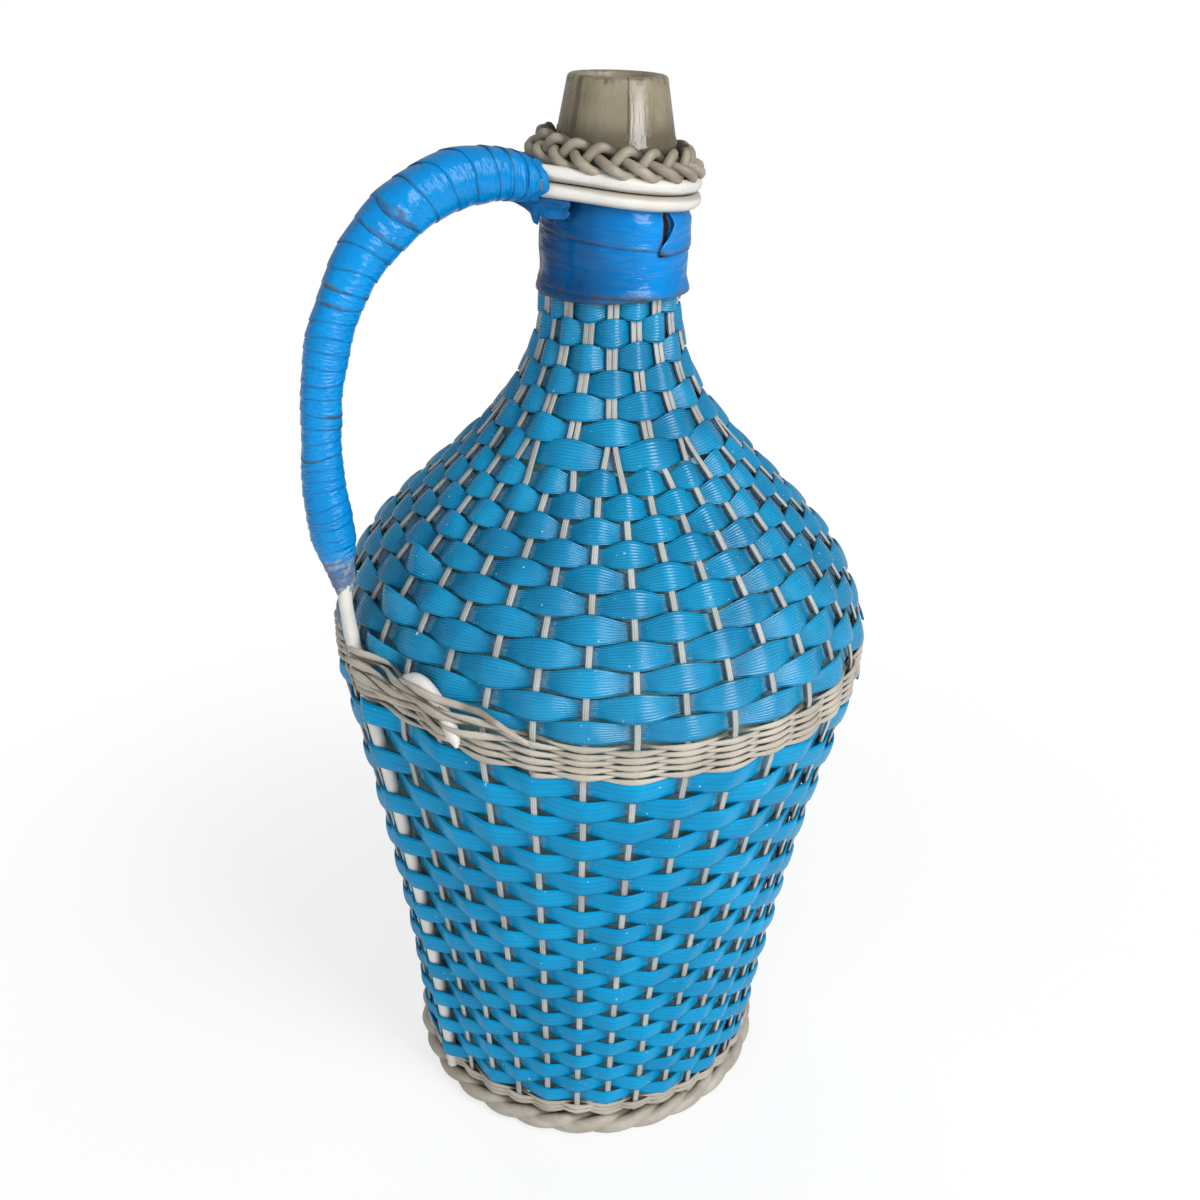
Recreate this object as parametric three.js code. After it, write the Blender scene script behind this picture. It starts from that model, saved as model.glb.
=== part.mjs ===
import * as THREE from "three";

// Heights of the zones, from the floor up, in millimetres
const BORDER_HEIGHT = 9;
const FOOT_CORD_HEIGHT = 7.8;
const LOWER_HEIGHT = 168;
const WAIST_HEIGHT = 14.6;
const DOME_HEIGHT = 116.6;
const NECK_HEIGHT = 36.4;
const BRAID_HEIGHT = 9.4;
const LIP_HEIGHT = 18.2;

// Jacket line: the middle of the stakes
const FOOT_R = 67.2;
const WAIST_R = 94.5;
const NECK_R = 21.8;
const WALL_BOW = 5.2;
const SHOULDER_DROP = 9.6;
const SHOULDER_RISE = 48;
const NECK_SWEEP = 55;
const DOME_STEPS = 6;

// Stakes
const STAKE_COUNT = 37;
const STAKE_WIDTH = 2.2;
const STAKE_NECK_WIDTH = 1.5;
const STAKE_THICKNESS = 1.3;
const PAIR_GAP = 0.2;
const FIRST_STAKE_AZIMUTH = -140.6;

// Weaving strips
const STRIP_THICKNESS = 0.8;
const WEAVE_CLEARANCE = 0.22;
const UPPER_PITCH = 7.5;
const UPPER_OVER_WIDTH = 8.6;
const UPPER_UNDER_WIDTH = 5.8;
const LOWER_PITCH = 8;
const LOWER_OVER_WIDTH = 6.8;
const LOWER_UNDER_WIDTH = 6;
const SPLIT_ROOM = 1.4;
const PAIRING_RUN = 5;
const NECK_OVER_WIDTH = 7.6;
const NECK_EXTRA_ROOM = 0.45;
const SHOULDER_TURNS = 11;

// Cords of the waist and the foot
const CORD_R = 1.05;
const CORD_MARGIN = 1.3;
const CORD_ROW_GAP = 0.2;

// Glass bottle
const GLASS_GAP = 4.4;
const GLASS_WALL = 3.4;
const GLASS_SEGMENTS = 20;
const HEEL_ROUND = 4;
const PUNT_R = 38;
const PUNT_HEIGHT = 9;
const COLLAR_PROUD = 1.8;
const LIP_R = 15.6;
const BORE_R = 11.3;
const LIP_EDGE = 1.2;

// Foot border
const BORDER_OUTER_R = 70.2;
const BORDER_INNER_R = 56;
const BORDER_ROUND = 2.4;
const BORDER_SEGMENTS = 24;

// Handle of two rods
const HANDLE_AZIMUTH = -148;
const ROD_D = 4.6;
const ROD_SIDES = 5;
const HANDLE_START = 36;
const HANDLE_REACH = 102;
const HANDLE_REACH_Z = 272;
const HANDLE_LEAD = 29;
const HANDLE_ARCH = 14.6;
const HANDLE_DROP = 62;
const HANDLE_FOOT_RISE = 14;
const LEG_OFFSET = 1.5;
const LEG_ROOM_OVER = 1.22;
const LEG_ROOM_UNDER = 1.05;
const TAIL_START_AZIMUTH = -142;
const TAIL_END_AZIMUTH = -117;
const TAIL_STEPS = 6;
const STRAND_STEPS = 14;
const LOOP_STEPS = 14;

// Tape on the handle and on the neck
const TAPE_THICKNESS = 0.9;
const TAPE_TURNS = 13;
const TAPE_STEPS = 8;
const TAPE_GAP = 1.1;
const TAPE_END_RISE = 24;
const NECK_TAPE_TURNS = 2;
const NECK_TAPE_STEPS = 18;

// Neck braid
const BRAID_STRAND_D = 2.5;
const BRAID_PERIODS = 7;
const BRAID_STEPS = 6;
const BRAID_SWAY = 2.6;

// Room left between touching pieces
const SEAT_GAP = 0.3;

// Heights that follow
const zCord = BORDER_HEIGHT;
const zLower = zCord + FOOT_CORD_HEIGHT;
const zWaist = zLower + LOWER_HEIGHT;
const zShoulder = zWaist + WAIST_HEIGHT;
const zNeck = zShoulder + DOME_HEIGHT;
const zBraid = zNeck + NECK_HEIGHT;
const zCollar = zBraid + BRAID_HEIGHT;
const zTop = zCollar + LIP_HEIGHT;

const RAD = Math.PI / 180;
const TURN = 2 * Math.PI;
const UP = new THREE.Vector3(0, 0, 1);
const ROD_R = ROD_D / 2;
const STAKE_PITCH = TURN / STAKE_COUNT;
const GROUP_COUNT = (STAKE_COUNT + 1) / 2;

const demijohn = new THREE.Group();
demijohn.name = "demijohn";

function plastic(color, roughness) {
  return new THREE.MeshStandardMaterial({ color, roughness, metalness: 0 });
}

function add(name, geometry, material) {
  const mesh = new THREE.Mesh(geometry, material);
  mesh.name = name;
  demijohn.add(mesh);
}

// Skins a row of equal rings of corners and closes both ends
function loft(rings) {
  const corners = rings[0].length;
  const points = rings.flat();
  const faces = [];
  for (let i = 0; i + 1 < rings.length; i += 1) {
    for (let j = 0; j < corners; j += 1) {
      const a = i * corners + j;
      const b = i * corners + (j + 1) % corners;
      faces.push(a, b, b + corners, a, b + corners, a + corners);
    }
  }
  const last = (rings.length - 1) * corners;
  for (let j = 1; j + 1 < corners; j += 1) {
    faces.push(0, j + 1, j, last, last + j, last + j + 1);
  }
  let volume = 0;
  for (let i = 0; i < faces.length; i += 3) {
    const [a, b, c] = faces.slice(i, i + 3).map((n) => points[n]);
    volume += a.dot(b.clone().cross(c));
  }
  if (volume < 0) {
    faces.reverse();
  }
  const geometry = new THREE.BufferGeometry();
  geometry.setAttribute("position", new THREE.Float32BufferAttribute(points.flatMap((p) => p.toArray()), 3));
  geometry.setIndex(faces);
  geometry.computeVertexNormals();
  return geometry;
}

// Four corners of a flat strip: width along one way, thickness along the other
function flatRing(centre, wide, thick, width, thickness) {
  const w = wide.clone().multiplyScalar(width / 2);
  const t = thick.clone().multiplyScalar(thickness / 2);
  return [
    centre.clone().add(w).add(t),
    centre.clone().sub(w).add(t),
    centre.clone().sub(w).sub(t),
    centre.clone().add(w).sub(t),
  ];
}

// Corners of a round strand around its centre
function roundRing(centre, wide, thick, radius, sides) {
  const ring = [];
  for (let j = 0; j < sides; j += 1) {
    const a = TURN * j / sides;
    const w = wide.clone().multiplyScalar(radius * Math.cos(a));
    const t = thick.clone().multiplyScalar(radius * Math.sin(a));
    ring.push(centre.clone().add(w).add(t));
  }
  return ring;
}

// A round rod through points, its section carried along without twisting
function rod(points, radius, sides) {
  const rings = [];
  let side = UP.clone();
  for (let i = 0; i < points.length; i += 1) {
    const before = points[Math.max(i - 1, 0)];
    const after = points[Math.min(i + 1, points.length - 1)];
    const along = after.clone().sub(before).normalize();
    side = side.clone().addScaledVector(along, -side.dot(along)).normalize();
    rings.push(roundRing(points[i], side, along.clone().cross(side), radius, sides));
  }
  return loft(rings);
}

// Jacket line as a row of corners, and places on it by length from the foot
const wall = new THREE.QuadraticBezierCurve(
  new THREE.Vector2(FOOT_R, zCord + SEAT_GAP),
  new THREE.Vector2((FOOT_R + WAIST_R) / 2 - WALL_BOW, (zCord + zWaist) / 2),
  new THREE.Vector2(WAIST_R, zWaist),
);
const dome = new THREE.CubicBezierCurve(
  new THREE.Vector2(WAIST_R, zShoulder),
  new THREE.Vector2(WAIST_R - SHOULDER_DROP, zShoulder + SHOULDER_RISE),
  new THREE.Vector2(NECK_R, zNeck - NECK_SWEEP),
  new THREE.Vector2(NECK_R, zNeck),
);
const jacket = [
  ...wall.getSpacedPoints(2),
  ...dome.getSpacedPoints(DOME_STEPS),
  new THREE.Vector2(NECK_R, zBraid - SEAT_GAP),
];
const reach = [0];
for (let i = 1; i < jacket.length; i += 1) {
  reach.push(reach[i - 1] + jacket[i].distanceTo(jacket[i - 1]));
}
const cornerNormals = jacket.map((corner, i) => {
  const before = jacket[Math.max(i - 1, 0)];
  const after = jacket[Math.min(i + 1, jacket.length - 1)];
  const along = after.clone().sub(before).normalize();
  return new THREE.Vector2(along.y, -along.x);
});

function jacketAt(s) {
  let i = 0;
  while (i + 2 < jacket.length && s > reach[i + 1]) {
    i += 1;
  }
  const part = (s - reach[i]) / (reach[i + 1] - reach[i]);
  const normal = cornerNormals[i].clone().lerp(cornerNormals[i + 1], part).normalize();
  return { point: jacket[i].clone().lerp(jacket[i + 1], part), normal };
}

function lengthAt(z) {
  let i = 0;
  while (i + 2 < jacket.length && z > jacket[i + 1].y) {
    i += 1;
  }
  const part = (z - jacket[i].y) / (jacket[i + 1].y - jacket[i].y);
  return reach[i] + part * (reach[i + 1] - reach[i]);
}

function turned(point, angle) {
  return new THREE.Vector3(point.x * Math.cos(angle), point.x * Math.sin(angle), point.y);
}

// A spot at a length, an angle and a distance outward, with its outward and upward ways
function spot(s, angle, offset) {
  const { point, normal } = jacketAt(s);
  const out = turned(normal, angle);
  const up = turned(new THREE.Vector2(-normal.y, normal.x), angle);
  return { centre: turned(point, angle).addScaledVector(out, offset), out, up };
}

// Stakes: evenly spread below, two abreast at the neck
const domeBase = lengthAt(zShoulder);
const domeEnd = lengthAt(zNeck);
const shoulderStart = domeBase + UPPER_OVER_WIDTH / 2 + SEAT_GAP;
const firstAngle = FIRST_STAKE_AZIMUTH * RAD;

// Length at which a stake leaves the last shoulder row and turns toward its neighbour
function pairingStart(k) {
  const place = (k + STAKE_COUNT - 2) % STAKE_COUNT + 1;
  const row = shoulderStart + UPPER_PITCH * (SHOULDER_TURNS - 1 + place / STAKE_COUNT);
  return row + UPPER_UNDER_WIDTH / 2;
}

// Share of the way from single stakes to pairs
function pairing(k, s) {
  return THREE.MathUtils.clamp((s - pairingStart(k)) / PAIRING_RUN, 0, 1);
}

function stakeAngle(k, s) {
  const spread = firstAngle + k * STAKE_PITCH;
  const group = Math.ceil(k / 2);
  const side = k === 0 ? 0 : 0.5 - (k % 2);
  const abreast = side * (STAKE_NECK_WIDTH + PAIR_GAP) / jacketAt(s).point.x;
  const gathered = firstAngle + Math.max(0, 2 * group - 0.5) * STAKE_PITCH + abreast;
  return THREE.MathUtils.lerp(spread, gathered, pairing(k, s));
}

const stakeStuff = plastic(0xb9bdb6, 0.5);
const legTop = domeBase + UPPER_PITCH;
for (let k = 0; k < STAKE_COUNT; k += 1) {
  const turn = pairingStart(k);
  const foot = k === 0 ? legTop : 0;
  const places = [foot, ...reach.filter((s) => s > foot), turn, turn + PAIRING_RUN].sort((a, b) => a - b);
  const rings = places.map((s) => {
    const { centre, out, up } = spot(s, stakeAngle(k, s), 0);
    const width = THREE.MathUtils.lerp(STAKE_WIDTH, STAKE_NECK_WIDTH, pairing(k, s));
    return flatRing(centre, up.clone().cross(out), out, width, STAKE_THICKNESS);
  });
  add(`stake_${String(k + 1).padStart(2, "0")}`, loft(rings), stakeStuff);
}

// The handle leg takes the place of the first stake under the shoulder
function legOffset(s) {
  const part = THREE.MathUtils.clamp((s - domeBase + CORD_R) / UPPER_PITCH, 0, 1);
  const clear = ROD_R + STAKE_THICKNESS + STRIP_THICKNESS + 2 * WEAVE_CLEARANCE;
  return THREE.MathUtils.lerp(LEG_OFFSET, Math.max(clear, LEG_OFFSET), part);
}

// How far the stakes bend away from a flat strip across its width
function bulge(s, width, over) {
  const { point, normal } = jacketAt(s);
  const near = [s - width / 2, s + width / 2, ...reach.filter((q) => Math.abs(q - s) < width / 2)];
  const heights = near.map((q) => jacketAt(q).point.sub(point).dot(normal) * (over ? 1 : -1));
  return Math.max(0, ...heights);
}

// Distance from the jacket line at which a strand passes outside or inside an upright
function passOffset({ k, s, over, halfStrand, width, count, halfUpright, extra }) {
  const step = TURN * jacketAt(s).point.x / count;
  if (k === 0 && s < legTop) {
    const room = (ROD_R + halfStrand + WEAVE_CLEARANCE) * (over ? LEG_ROOM_OVER : LEG_ROOM_UNDER);
    return legOffset(s) + (over ? room : -room);
  }
  const clear = STAKE_THICKNESS / 2 + halfStrand + WEAVE_CLEARANCE + extra + bulge(s, width, over);
  const room = clear / (1 - 2 * halfUpright / step);
  return over ? room : -room;
}

// Strand woven over one stake and under the next, in a rising or falling spiral
function weave({ from, pitch, turns, first, halfStrand, widths, section }) {
  const rings = [];
  const crossings = Math.round(turns * STAKE_COUNT);
  for (let n = 0; n <= crossings; n += 1) {
    const k = (first + n) % STAKE_COUNT;
    const s = from + pitch * n / STAKE_COUNT;
    const over = n % 2 === 0;
    const width = widths[over ? 0 : 1];
    const halfUpright = STAKE_WIDTH / 2;
    const extra = s + width / 2 > pairingStart(k) ? NECK_EXTRA_ROOM : 0;
    const offset = passOffset({ k, s, over, halfStrand, width, count: STAKE_COUNT, halfUpright, extra });
    rings.push(section(spot(s, stakeAngle(k, s), offset), width));
  }
  return loft(rings);
}

function stripSection({ centre, out, up }, width) {
  return flatRing(centre, up, out, width, STRIP_THICKNESS);
}

function cordSection({ centre, out, up }) {
  return roundRing(centre, out, up, CORD_R, 3);
}

const upperStuff = plastic(0x0f87cd, 0.4);
const lowerStuff = plastic(0x1583c4, 0.45);
const cordStuff = plastic(0xb7ad98, 0.7);

// Shoulder strip over the single stakes
add("shoulder_weaver", weave({
  from: shoulderStart,
  pitch: UPPER_PITCH,
  turns: SHOULDER_TURNS,
  first: 1,
  halfStrand: STRIP_THICKNESS / 2,
  widths: [UPPER_OVER_WIDTH, UPPER_UNDER_WIDTH],
  section: stripSection,
}), upperStuff);

// Neck strip over the stakes two abreast
const neckStart = shoulderStart + UPPER_PITCH * SHOULDER_TURNS + SPLIT_ROOM;
const neckRoom = domeEnd - NECK_OVER_WIDTH / 2 - neckStart;
const neckCrossings = Math.floor(neckRoom / UPPER_PITCH * GROUP_COUNT);
const neckRings = [];
for (let n = 2; n <= neckCrossings; n += 1) {
  const group = n % GROUP_COUNT;
  const single = group === 0;
  const s = neckStart + UPPER_PITCH * n / GROUP_COUNT;
  const one = stakeAngle(2 * group, s);
  const other = single ? one : stakeAngle(2 * group - 1, s);
  const over = n % 2 === 0;
  const width = over ? NECK_OVER_WIDTH : UPPER_UNDER_WIDTH;
  const low = s - width / 2;
  const spread = single ? 0 : stakeAngle(2 * group, low) - stakeAngle(2 * group - 1, low);
  const offset = passOffset({
    k: -1,
    s,
    over,
    halfStrand: STRIP_THICKNESS / 2,
    width,
    count: GROUP_COUNT,
    halfUpright: (spread * jacketAt(low).point.x + STAKE_NECK_WIDTH) / 2,
    extra: NECK_EXTRA_ROOM,
  });
  neckRings.push(stripSection(spot(s, (one + other) / 2, offset), width));
}
add("neck_weaver", loft(neckRings), upperStuff);

// Lower strip in two lengths, from the waist down
const lowerTop = lengthAt(zWaist) - LOWER_OVER_WIDTH / 2 - SEAT_GAP;
const lowerRoom = lowerTop - lengthAt(zLower) - LOWER_OVER_WIDTH / 2 - SEAT_GAP;
const lowerTurns = Math.round(lowerRoom / LOWER_PITCH);
const lowerStep = lowerRoom / lowerTurns;
const halfTurns = Math.ceil(lowerTurns / 2);
add("lower_weaver_upper_length", weave({
  from: lowerTop,
  pitch: -lowerStep,
  turns: halfTurns - 1 / STAKE_COUNT,
  first: 4,
  halfStrand: STRIP_THICKNESS / 2,
  widths: [LOWER_OVER_WIDTH, LOWER_UNDER_WIDTH],
  section: stripSection,
}), lowerStuff);
add("lower_weaver_lower_length", weave({
  from: lowerTop - lowerStep * (halfTurns + 2 / STAKE_COUNT),
  pitch: -lowerStep,
  turns: lowerTurns - halfTurns - 2 / STAKE_COUNT,
  first: 6,
  halfStrand: STRIP_THICKNESS / 2,
  widths: [LOWER_OVER_WIDTH, LOWER_UNDER_WIDTH],
  section: stripSection,
}), lowerStuff);

// Cords of the waist band and of the foot
function cordRows(name, low, high) {
  const room = high - low - 2 * CORD_MARGIN;
  const turns = Math.floor(room / (2 * CORD_R + CORD_ROW_GAP));
  add(name, weave({
    from: low + CORD_MARGIN,
    pitch: room / turns,
    turns,
    first: 9,
    halfStrand: CORD_R,
    widths: [2 * CORD_R, 2 * CORD_R],
    section: cordSection,
  }), cordStuff);
}
cordRows("waist_cord", lengthAt(zWaist), lengthAt(zShoulder));
cordRows("foot_cord", lengthAt(zCord + SEAT_GAP), lengthAt(zLower));

// Rolled foot border with a flat underside
const borderOutline = [
  [BORDER_INNER_R + BORDER_ROUND, 0],
  [BORDER_OUTER_R - BORDER_ROUND, 0],
  [BORDER_OUTER_R, BORDER_ROUND],
  [BORDER_OUTER_R, BORDER_HEIGHT - BORDER_ROUND],
  [BORDER_OUTER_R - BORDER_ROUND / 2, BORDER_HEIGHT],
  [BORDER_INNER_R + BORDER_ROUND, BORDER_HEIGHT],
  [BORDER_INNER_R, BORDER_HEIGHT - BORDER_ROUND],
  [BORDER_INNER_R, BORDER_ROUND],
  [BORDER_INNER_R + BORDER_ROUND, 0],
].map(([r, z]) => new THREE.Vector2(r, z));

// Lathes turn about Y, so the finished form is stood up along Z
function lathe(outline, segments) {
  return new THREE.LatheGeometry(outline, segments).rotateX(Math.PI / 2);
}
add("foot_border", lathe(borderOutline, BORDER_SEGMENTS), plastic(0xa79c86, 0.8));

// Glass bottle with a pushed-up base and an open mouth
function glassLine(depth) {
  const line = jacket.map((corner, i) => corner.clone().addScaledVector(cornerNormals[i], -depth));
  return line.slice(1, -1);
}
const zGlass = BORDER_HEIGHT + SEAT_GAP;
const collarR = NECK_R - GLASS_GAP + COLLAR_PROUD;
const glassFootR = FOOT_R - GLASS_GAP;
const inner = GLASS_GAP + GLASS_WALL;
const outside = [
  new THREE.Vector2(0, zGlass + PUNT_HEIGHT),
  new THREE.Vector2(PUNT_R, zGlass),
  new THREE.Vector2(glassFootR - HEEL_ROUND / 2, zGlass),
  new THREE.Vector2(glassFootR, zGlass + HEEL_ROUND),
  ...glassLine(GLASS_GAP),
  new THREE.Vector2(NECK_R - GLASS_GAP, zBraid - SEAT_GAP),
  new THREE.Vector2(collarR, zCollar - BRAID_HEIGHT / 2),
  new THREE.Vector2(collarR, zCollar),
  new THREE.Vector2(LIP_R, zTop - LIP_EDGE),
  new THREE.Vector2(LIP_R - LIP_EDGE, zTop),
];
const inside = [
  new THREE.Vector2(BORE_R, zTop),
  new THREE.Vector2(BORE_R, zBraid),
  ...glassLine(inner).filter((corner, i) => i % 2 === 0).reverse(),
  new THREE.Vector2(glassFootR - GLASS_WALL, zGlass + HEEL_ROUND + GLASS_WALL),
  new THREE.Vector2(PUNT_R, zGlass + GLASS_WALL),
  new THREE.Vector2(0, zGlass + PUNT_HEIGHT + GLASS_WALL),
];
const glass = new THREE.MeshStandardMaterial({ color: 0x8f948a, roughness: 0.12, metalness: 0 });
add("glass_bottle", lathe([...outside, ...inside], GLASS_SEGMENTS), glass);

// Handle line in its own upright plane, from the neck over to the shoulder
const rodStep = ROD_D + SEAT_GAP;
const loopR = (NECK_R + STAKE_THICKNESS / 2 + SEAT_GAP + ROD_R) / Math.cos(Math.PI / (LOOP_STEPS + 2));
const zLoopLow = zBraid - SEAT_GAP - ROD_R - rodStep;
const zHandle = zLoopLow + rodStep / 2;
const footSpot = jacketAt(domeBase + HANDLE_FOOT_RISE).point;
const weaveOut = STAKE_THICKNESS + STRIP_THICKNESS + 2 * WEAVE_CLEARANCE;
const handleFoot = new THREE.Vector2(footSpot.x + weaveOut + ROD_R + rodStep / 2, footSpot.y);
const handle = new THREE.CurvePath();
handle.add(new THREE.CubicBezierCurve(
  new THREE.Vector2(HANDLE_START, zHandle),
  new THREE.Vector2(HANDLE_START + HANDLE_LEAD, zHandle + HANDLE_ARCH),
  new THREE.Vector2(HANDLE_REACH, HANDLE_REACH_Z + HANDLE_DROP),
  new THREE.Vector2(HANDLE_REACH, HANDLE_REACH_Z),
));
handle.add(new THREE.CubicBezierCurve(
  new THREE.Vector2(HANDLE_REACH, HANDLE_REACH_Z),
  new THREE.Vector2(HANDLE_REACH, (2 * HANDLE_REACH_Z + handleFoot.y) / 3),
  new THREE.Vector2(handleFoot.x, (HANDLE_REACH_Z + 2 * handleFoot.y) / 3),
  handleFoot,
));
const handleAngle = HANDLE_AZIMUTH * RAD;
const handleSide = new THREE.Vector3(-Math.sin(handleAngle), Math.cos(handleAngle), 0);

// A spot on the handle, with its onward, outward and sideways ways
function handleSpot(part) {
  const along = handle.getTangentAt(part);
  return {
    centre: turned(handle.getPointAt(part), handleAngle),
    along: turned(along, handleAngle),
    out: turned(new THREE.Vector2(-along.y, along.x), handleAngle),
  };
}

function strand(outward, sideways, parts) {
  return parts.map((part) => {
    const { centre, out } = handleSpot(part);
    centre.addScaledVector(out, outward * rodStep / 2);
    return centre.addScaledVector(handleSide, sideways * rodStep / 2);
  });
}

function neckLoop(z) {
  const away = Math.acos(loopR / HANDLE_START);
  const points = [];
  for (let j = 0; j <= LOOP_STEPS; j += 1) {
    const angle = handleAngle - away - (TURN - 2 * away) * j / LOOP_STEPS;
    points.push(new THREE.Vector3(loopR * Math.cos(angle), loopR * Math.sin(angle), z));
  }
  return points;
}

const downParts = [];
for (let j = 0; j <= STRAND_STEPS; j += 1) {
  downParts.push(j / STRAND_STEPS);
}
const upParts = downParts.slice().reverse();
const rodStuff = plastic(0xe4e4df, 0.5);

// Outer rod: one end rests over the shoulder, the other lies along the waist band
const tailPoints = [];
const tailRest = weaveOut + ROD_R + WEAVE_CLEARANCE;
for (let j = 0; j <= TAIL_STEPS; j += 1) {
  const part = j / TAIL_STEPS;
  const ease = Math.min(1, 2 * part);
  const rise = THREE.MathUtils.lerp(HANDLE_FOOT_RISE - ROD_D, ROD_R + SEAT_GAP, ease);
  const angle = THREE.MathUtils.lerp(TAIL_START_AZIMUTH, TAIL_END_AZIMUTH, part) * RAD;
  const offset = THREE.MathUtils.lerp(tailRest + rodStep, tailRest, ease);
  tailPoints.push(spot(domeBase + rise, angle, offset).centre);
}
add("handle_rod_outer", rod([
  ...strand(1, -1, upParts),
  ...neckLoop(zLoopLow + rodStep),
  ...strand(1, 1, downParts),
  ...tailPoints,
], ROD_R, ROD_SIDES), rodStuff);

// Inner rod: one end goes on down the jacket in the place of a stake
const legPlaces = [legTop, ...reach.slice(0, 4).reverse()];
const legPoints = legPlaces.map((s) => spot(s, firstAngle, legOffset(s)).centre);
add("handle_rod_inner", rod([
  ...strand(-1, -1, upParts),
  ...neckLoop(zLoopLow),
  ...strand(-1, 1, downParts),
  ...legPoints,
], ROD_R, ROD_SIDES), rodStuff);

// Tape wound on the handle in one unbroken ribbon
const bundleR = rodStep * Math.SQRT1_2 + ROD_R;
const tapeR = (bundleR + SEAT_GAP) / Math.cos(Math.PI / TAPE_STEPS) + TAPE_THICKNESS / 2;
const handleLength = handle.getLength();
const tapePart = 1 - (TAPE_END_RISE - HANDLE_FOOT_RISE) / handleLength;
const tapePitch = handleLength * tapePart / (TAPE_TURNS + 1);
const tapeRings = [];
for (let n = 0; n <= TAPE_TURNS * TAPE_STEPS; n += 1) {
  const part = tapePart * (n / TAPE_STEPS + 0.5) / (TAPE_TURNS + 1);
  const { centre, along, out } = handleSpot(part);
  const next = handleSpot(Math.min(1, part + 0.02));
  const bend = along.angleTo(next.along) / (0.02 * handleLength);
  const angle = TURN * n / TAPE_STEPS;
  const away = out.clone().multiplyScalar(Math.cos(angle)).addScaledVector(handleSide, Math.sin(angle));
  const room = tapePitch * (1 + bend * tapeR * Math.cos(angle)) - TAPE_GAP;
  tapeRings.push(flatRing(centre.addScaledVector(away, tapeR), along, away, room, TAPE_THICKNESS));
}
const tapeStuff = plastic(0x0a76d2, 0.3);
add("handle_tape", loft(tapeRings), tapeStuff);

// Least gap between one turn of a ribbon and the next, measured at the corners
function leastGap(rings, perTurn) {
  let least = Infinity;
  for (let i = 0; i + perTurn < rings.length; i += 1) {
    for (const corner of rings[i]) {
      for (const facing of rings[i + perTurn]) {
        least = Math.min(least, corner.distanceTo(facing));
      }
    }
  }
  return least;
}
console.log(`handle tape: least gap between turns ${leastGap(tapeRings, TAPE_STEPS).toFixed(2)} mm`);

// Tape wound round the neck under the rods
const neckTapeLow = domeEnd + 2 * SEAT_GAP;
const neckTapeHigh = lengthAt(zLoopLow - ROD_R) - SEAT_GAP;
const neckTapePitch = (neckTapeHigh - neckTapeLow) / (NECK_TAPE_TURNS + 1);
const cornerRoom = NECK_R * (1 / Math.cos(Math.PI / NECK_TAPE_STEPS) - 1);
const neckTapeR = (STAKE_THICKNESS + TAPE_THICKNESS) / 2 + SEAT_GAP + cornerRoom;
const neckTapeRings = [];
for (let n = 0; n <= NECK_TAPE_TURNS * NECK_TAPE_STEPS; n += 1) {
  const s = neckTapeLow + neckTapePitch * (n / NECK_TAPE_STEPS + 0.5);
  const { centre, out, up } = spot(s, TURN * n / NECK_TAPE_STEPS, neckTapeR);
  neckTapeRings.push(flatRing(centre, up, out, neckTapePitch - TAPE_GAP, TAPE_THICKNESS));
}
add("neck_tape", loft(neckTapeRings), tapeStuff);
console.log(`neck tape: least gap between turns ${leastGap(neckTapeRings, NECK_TAPE_STEPS).toFixed(2)} mm`);

// Three strands plaited round the collar of the bottle
const braidInner = collarR + SEAT_GAP;
const strandR = BRAID_STRAND_D / 2;
const liftHalf = (BRAID_HEIGHT - BRAID_STRAND_D) / 2 - SEAT_GAP / 2;
const braidR = braidInner + strandR + BRAID_SWAY;
const braidStuff = plastic(0x9c978c, 0.7);
for (let i = 0; i < 3; i += 1) {
  const rings = [];
  for (let n = 0; n < BRAID_PERIODS * BRAID_STEPS; n += 1) {
    const phase = TURN * ((n + 0.5) / BRAID_STEPS + i / 3);
    const angle = TURN * n / (BRAID_PERIODS * BRAID_STEPS);
    const at = new THREE.Vector2(braidR + BRAID_SWAY * Math.sin(2 * phase), zBraid + BRAID_HEIGHT / 2);
    at.y += liftHalf * Math.sin(phase);
    const out = turned(new THREE.Vector2(1, 0), angle);
    rings.push(roundRing(turned(at, angle), UP, out, strandR, 4));
  }
  add(`neck_braid_${i + 1}`, loft(rings), braidStuff);
}

export default demijohn;
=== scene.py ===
# %% [markdown]
# # A demijohn in a woven plastic jacket
# The bottle is blown glass. Upright plastic stakes stand round it, flat strips are woven in and out of
# the stakes, cords bind the waist and the foot, and a handle of two bent rods is bound with tape.
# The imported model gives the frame, and every piece below is laid over the node that it stands for.

# %% Load the frame
import math

import bmesh
import bpy
import numpy as np
from mathutils import Matrix, Vector


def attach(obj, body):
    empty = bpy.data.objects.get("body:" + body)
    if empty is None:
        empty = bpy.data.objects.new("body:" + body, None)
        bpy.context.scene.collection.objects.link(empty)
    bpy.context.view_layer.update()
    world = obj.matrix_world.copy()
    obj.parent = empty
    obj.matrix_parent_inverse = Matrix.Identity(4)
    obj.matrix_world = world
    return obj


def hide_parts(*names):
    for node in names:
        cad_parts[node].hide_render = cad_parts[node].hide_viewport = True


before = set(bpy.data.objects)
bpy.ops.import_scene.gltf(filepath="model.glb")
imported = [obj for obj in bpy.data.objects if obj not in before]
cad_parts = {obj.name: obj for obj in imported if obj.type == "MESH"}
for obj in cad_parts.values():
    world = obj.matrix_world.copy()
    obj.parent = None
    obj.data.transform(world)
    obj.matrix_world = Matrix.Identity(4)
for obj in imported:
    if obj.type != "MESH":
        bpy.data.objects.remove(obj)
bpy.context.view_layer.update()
scene = bpy.context.scene
MM = 0.001
TURN = 2 * math.pi
print("nodes in the frame:", len(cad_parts))

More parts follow.
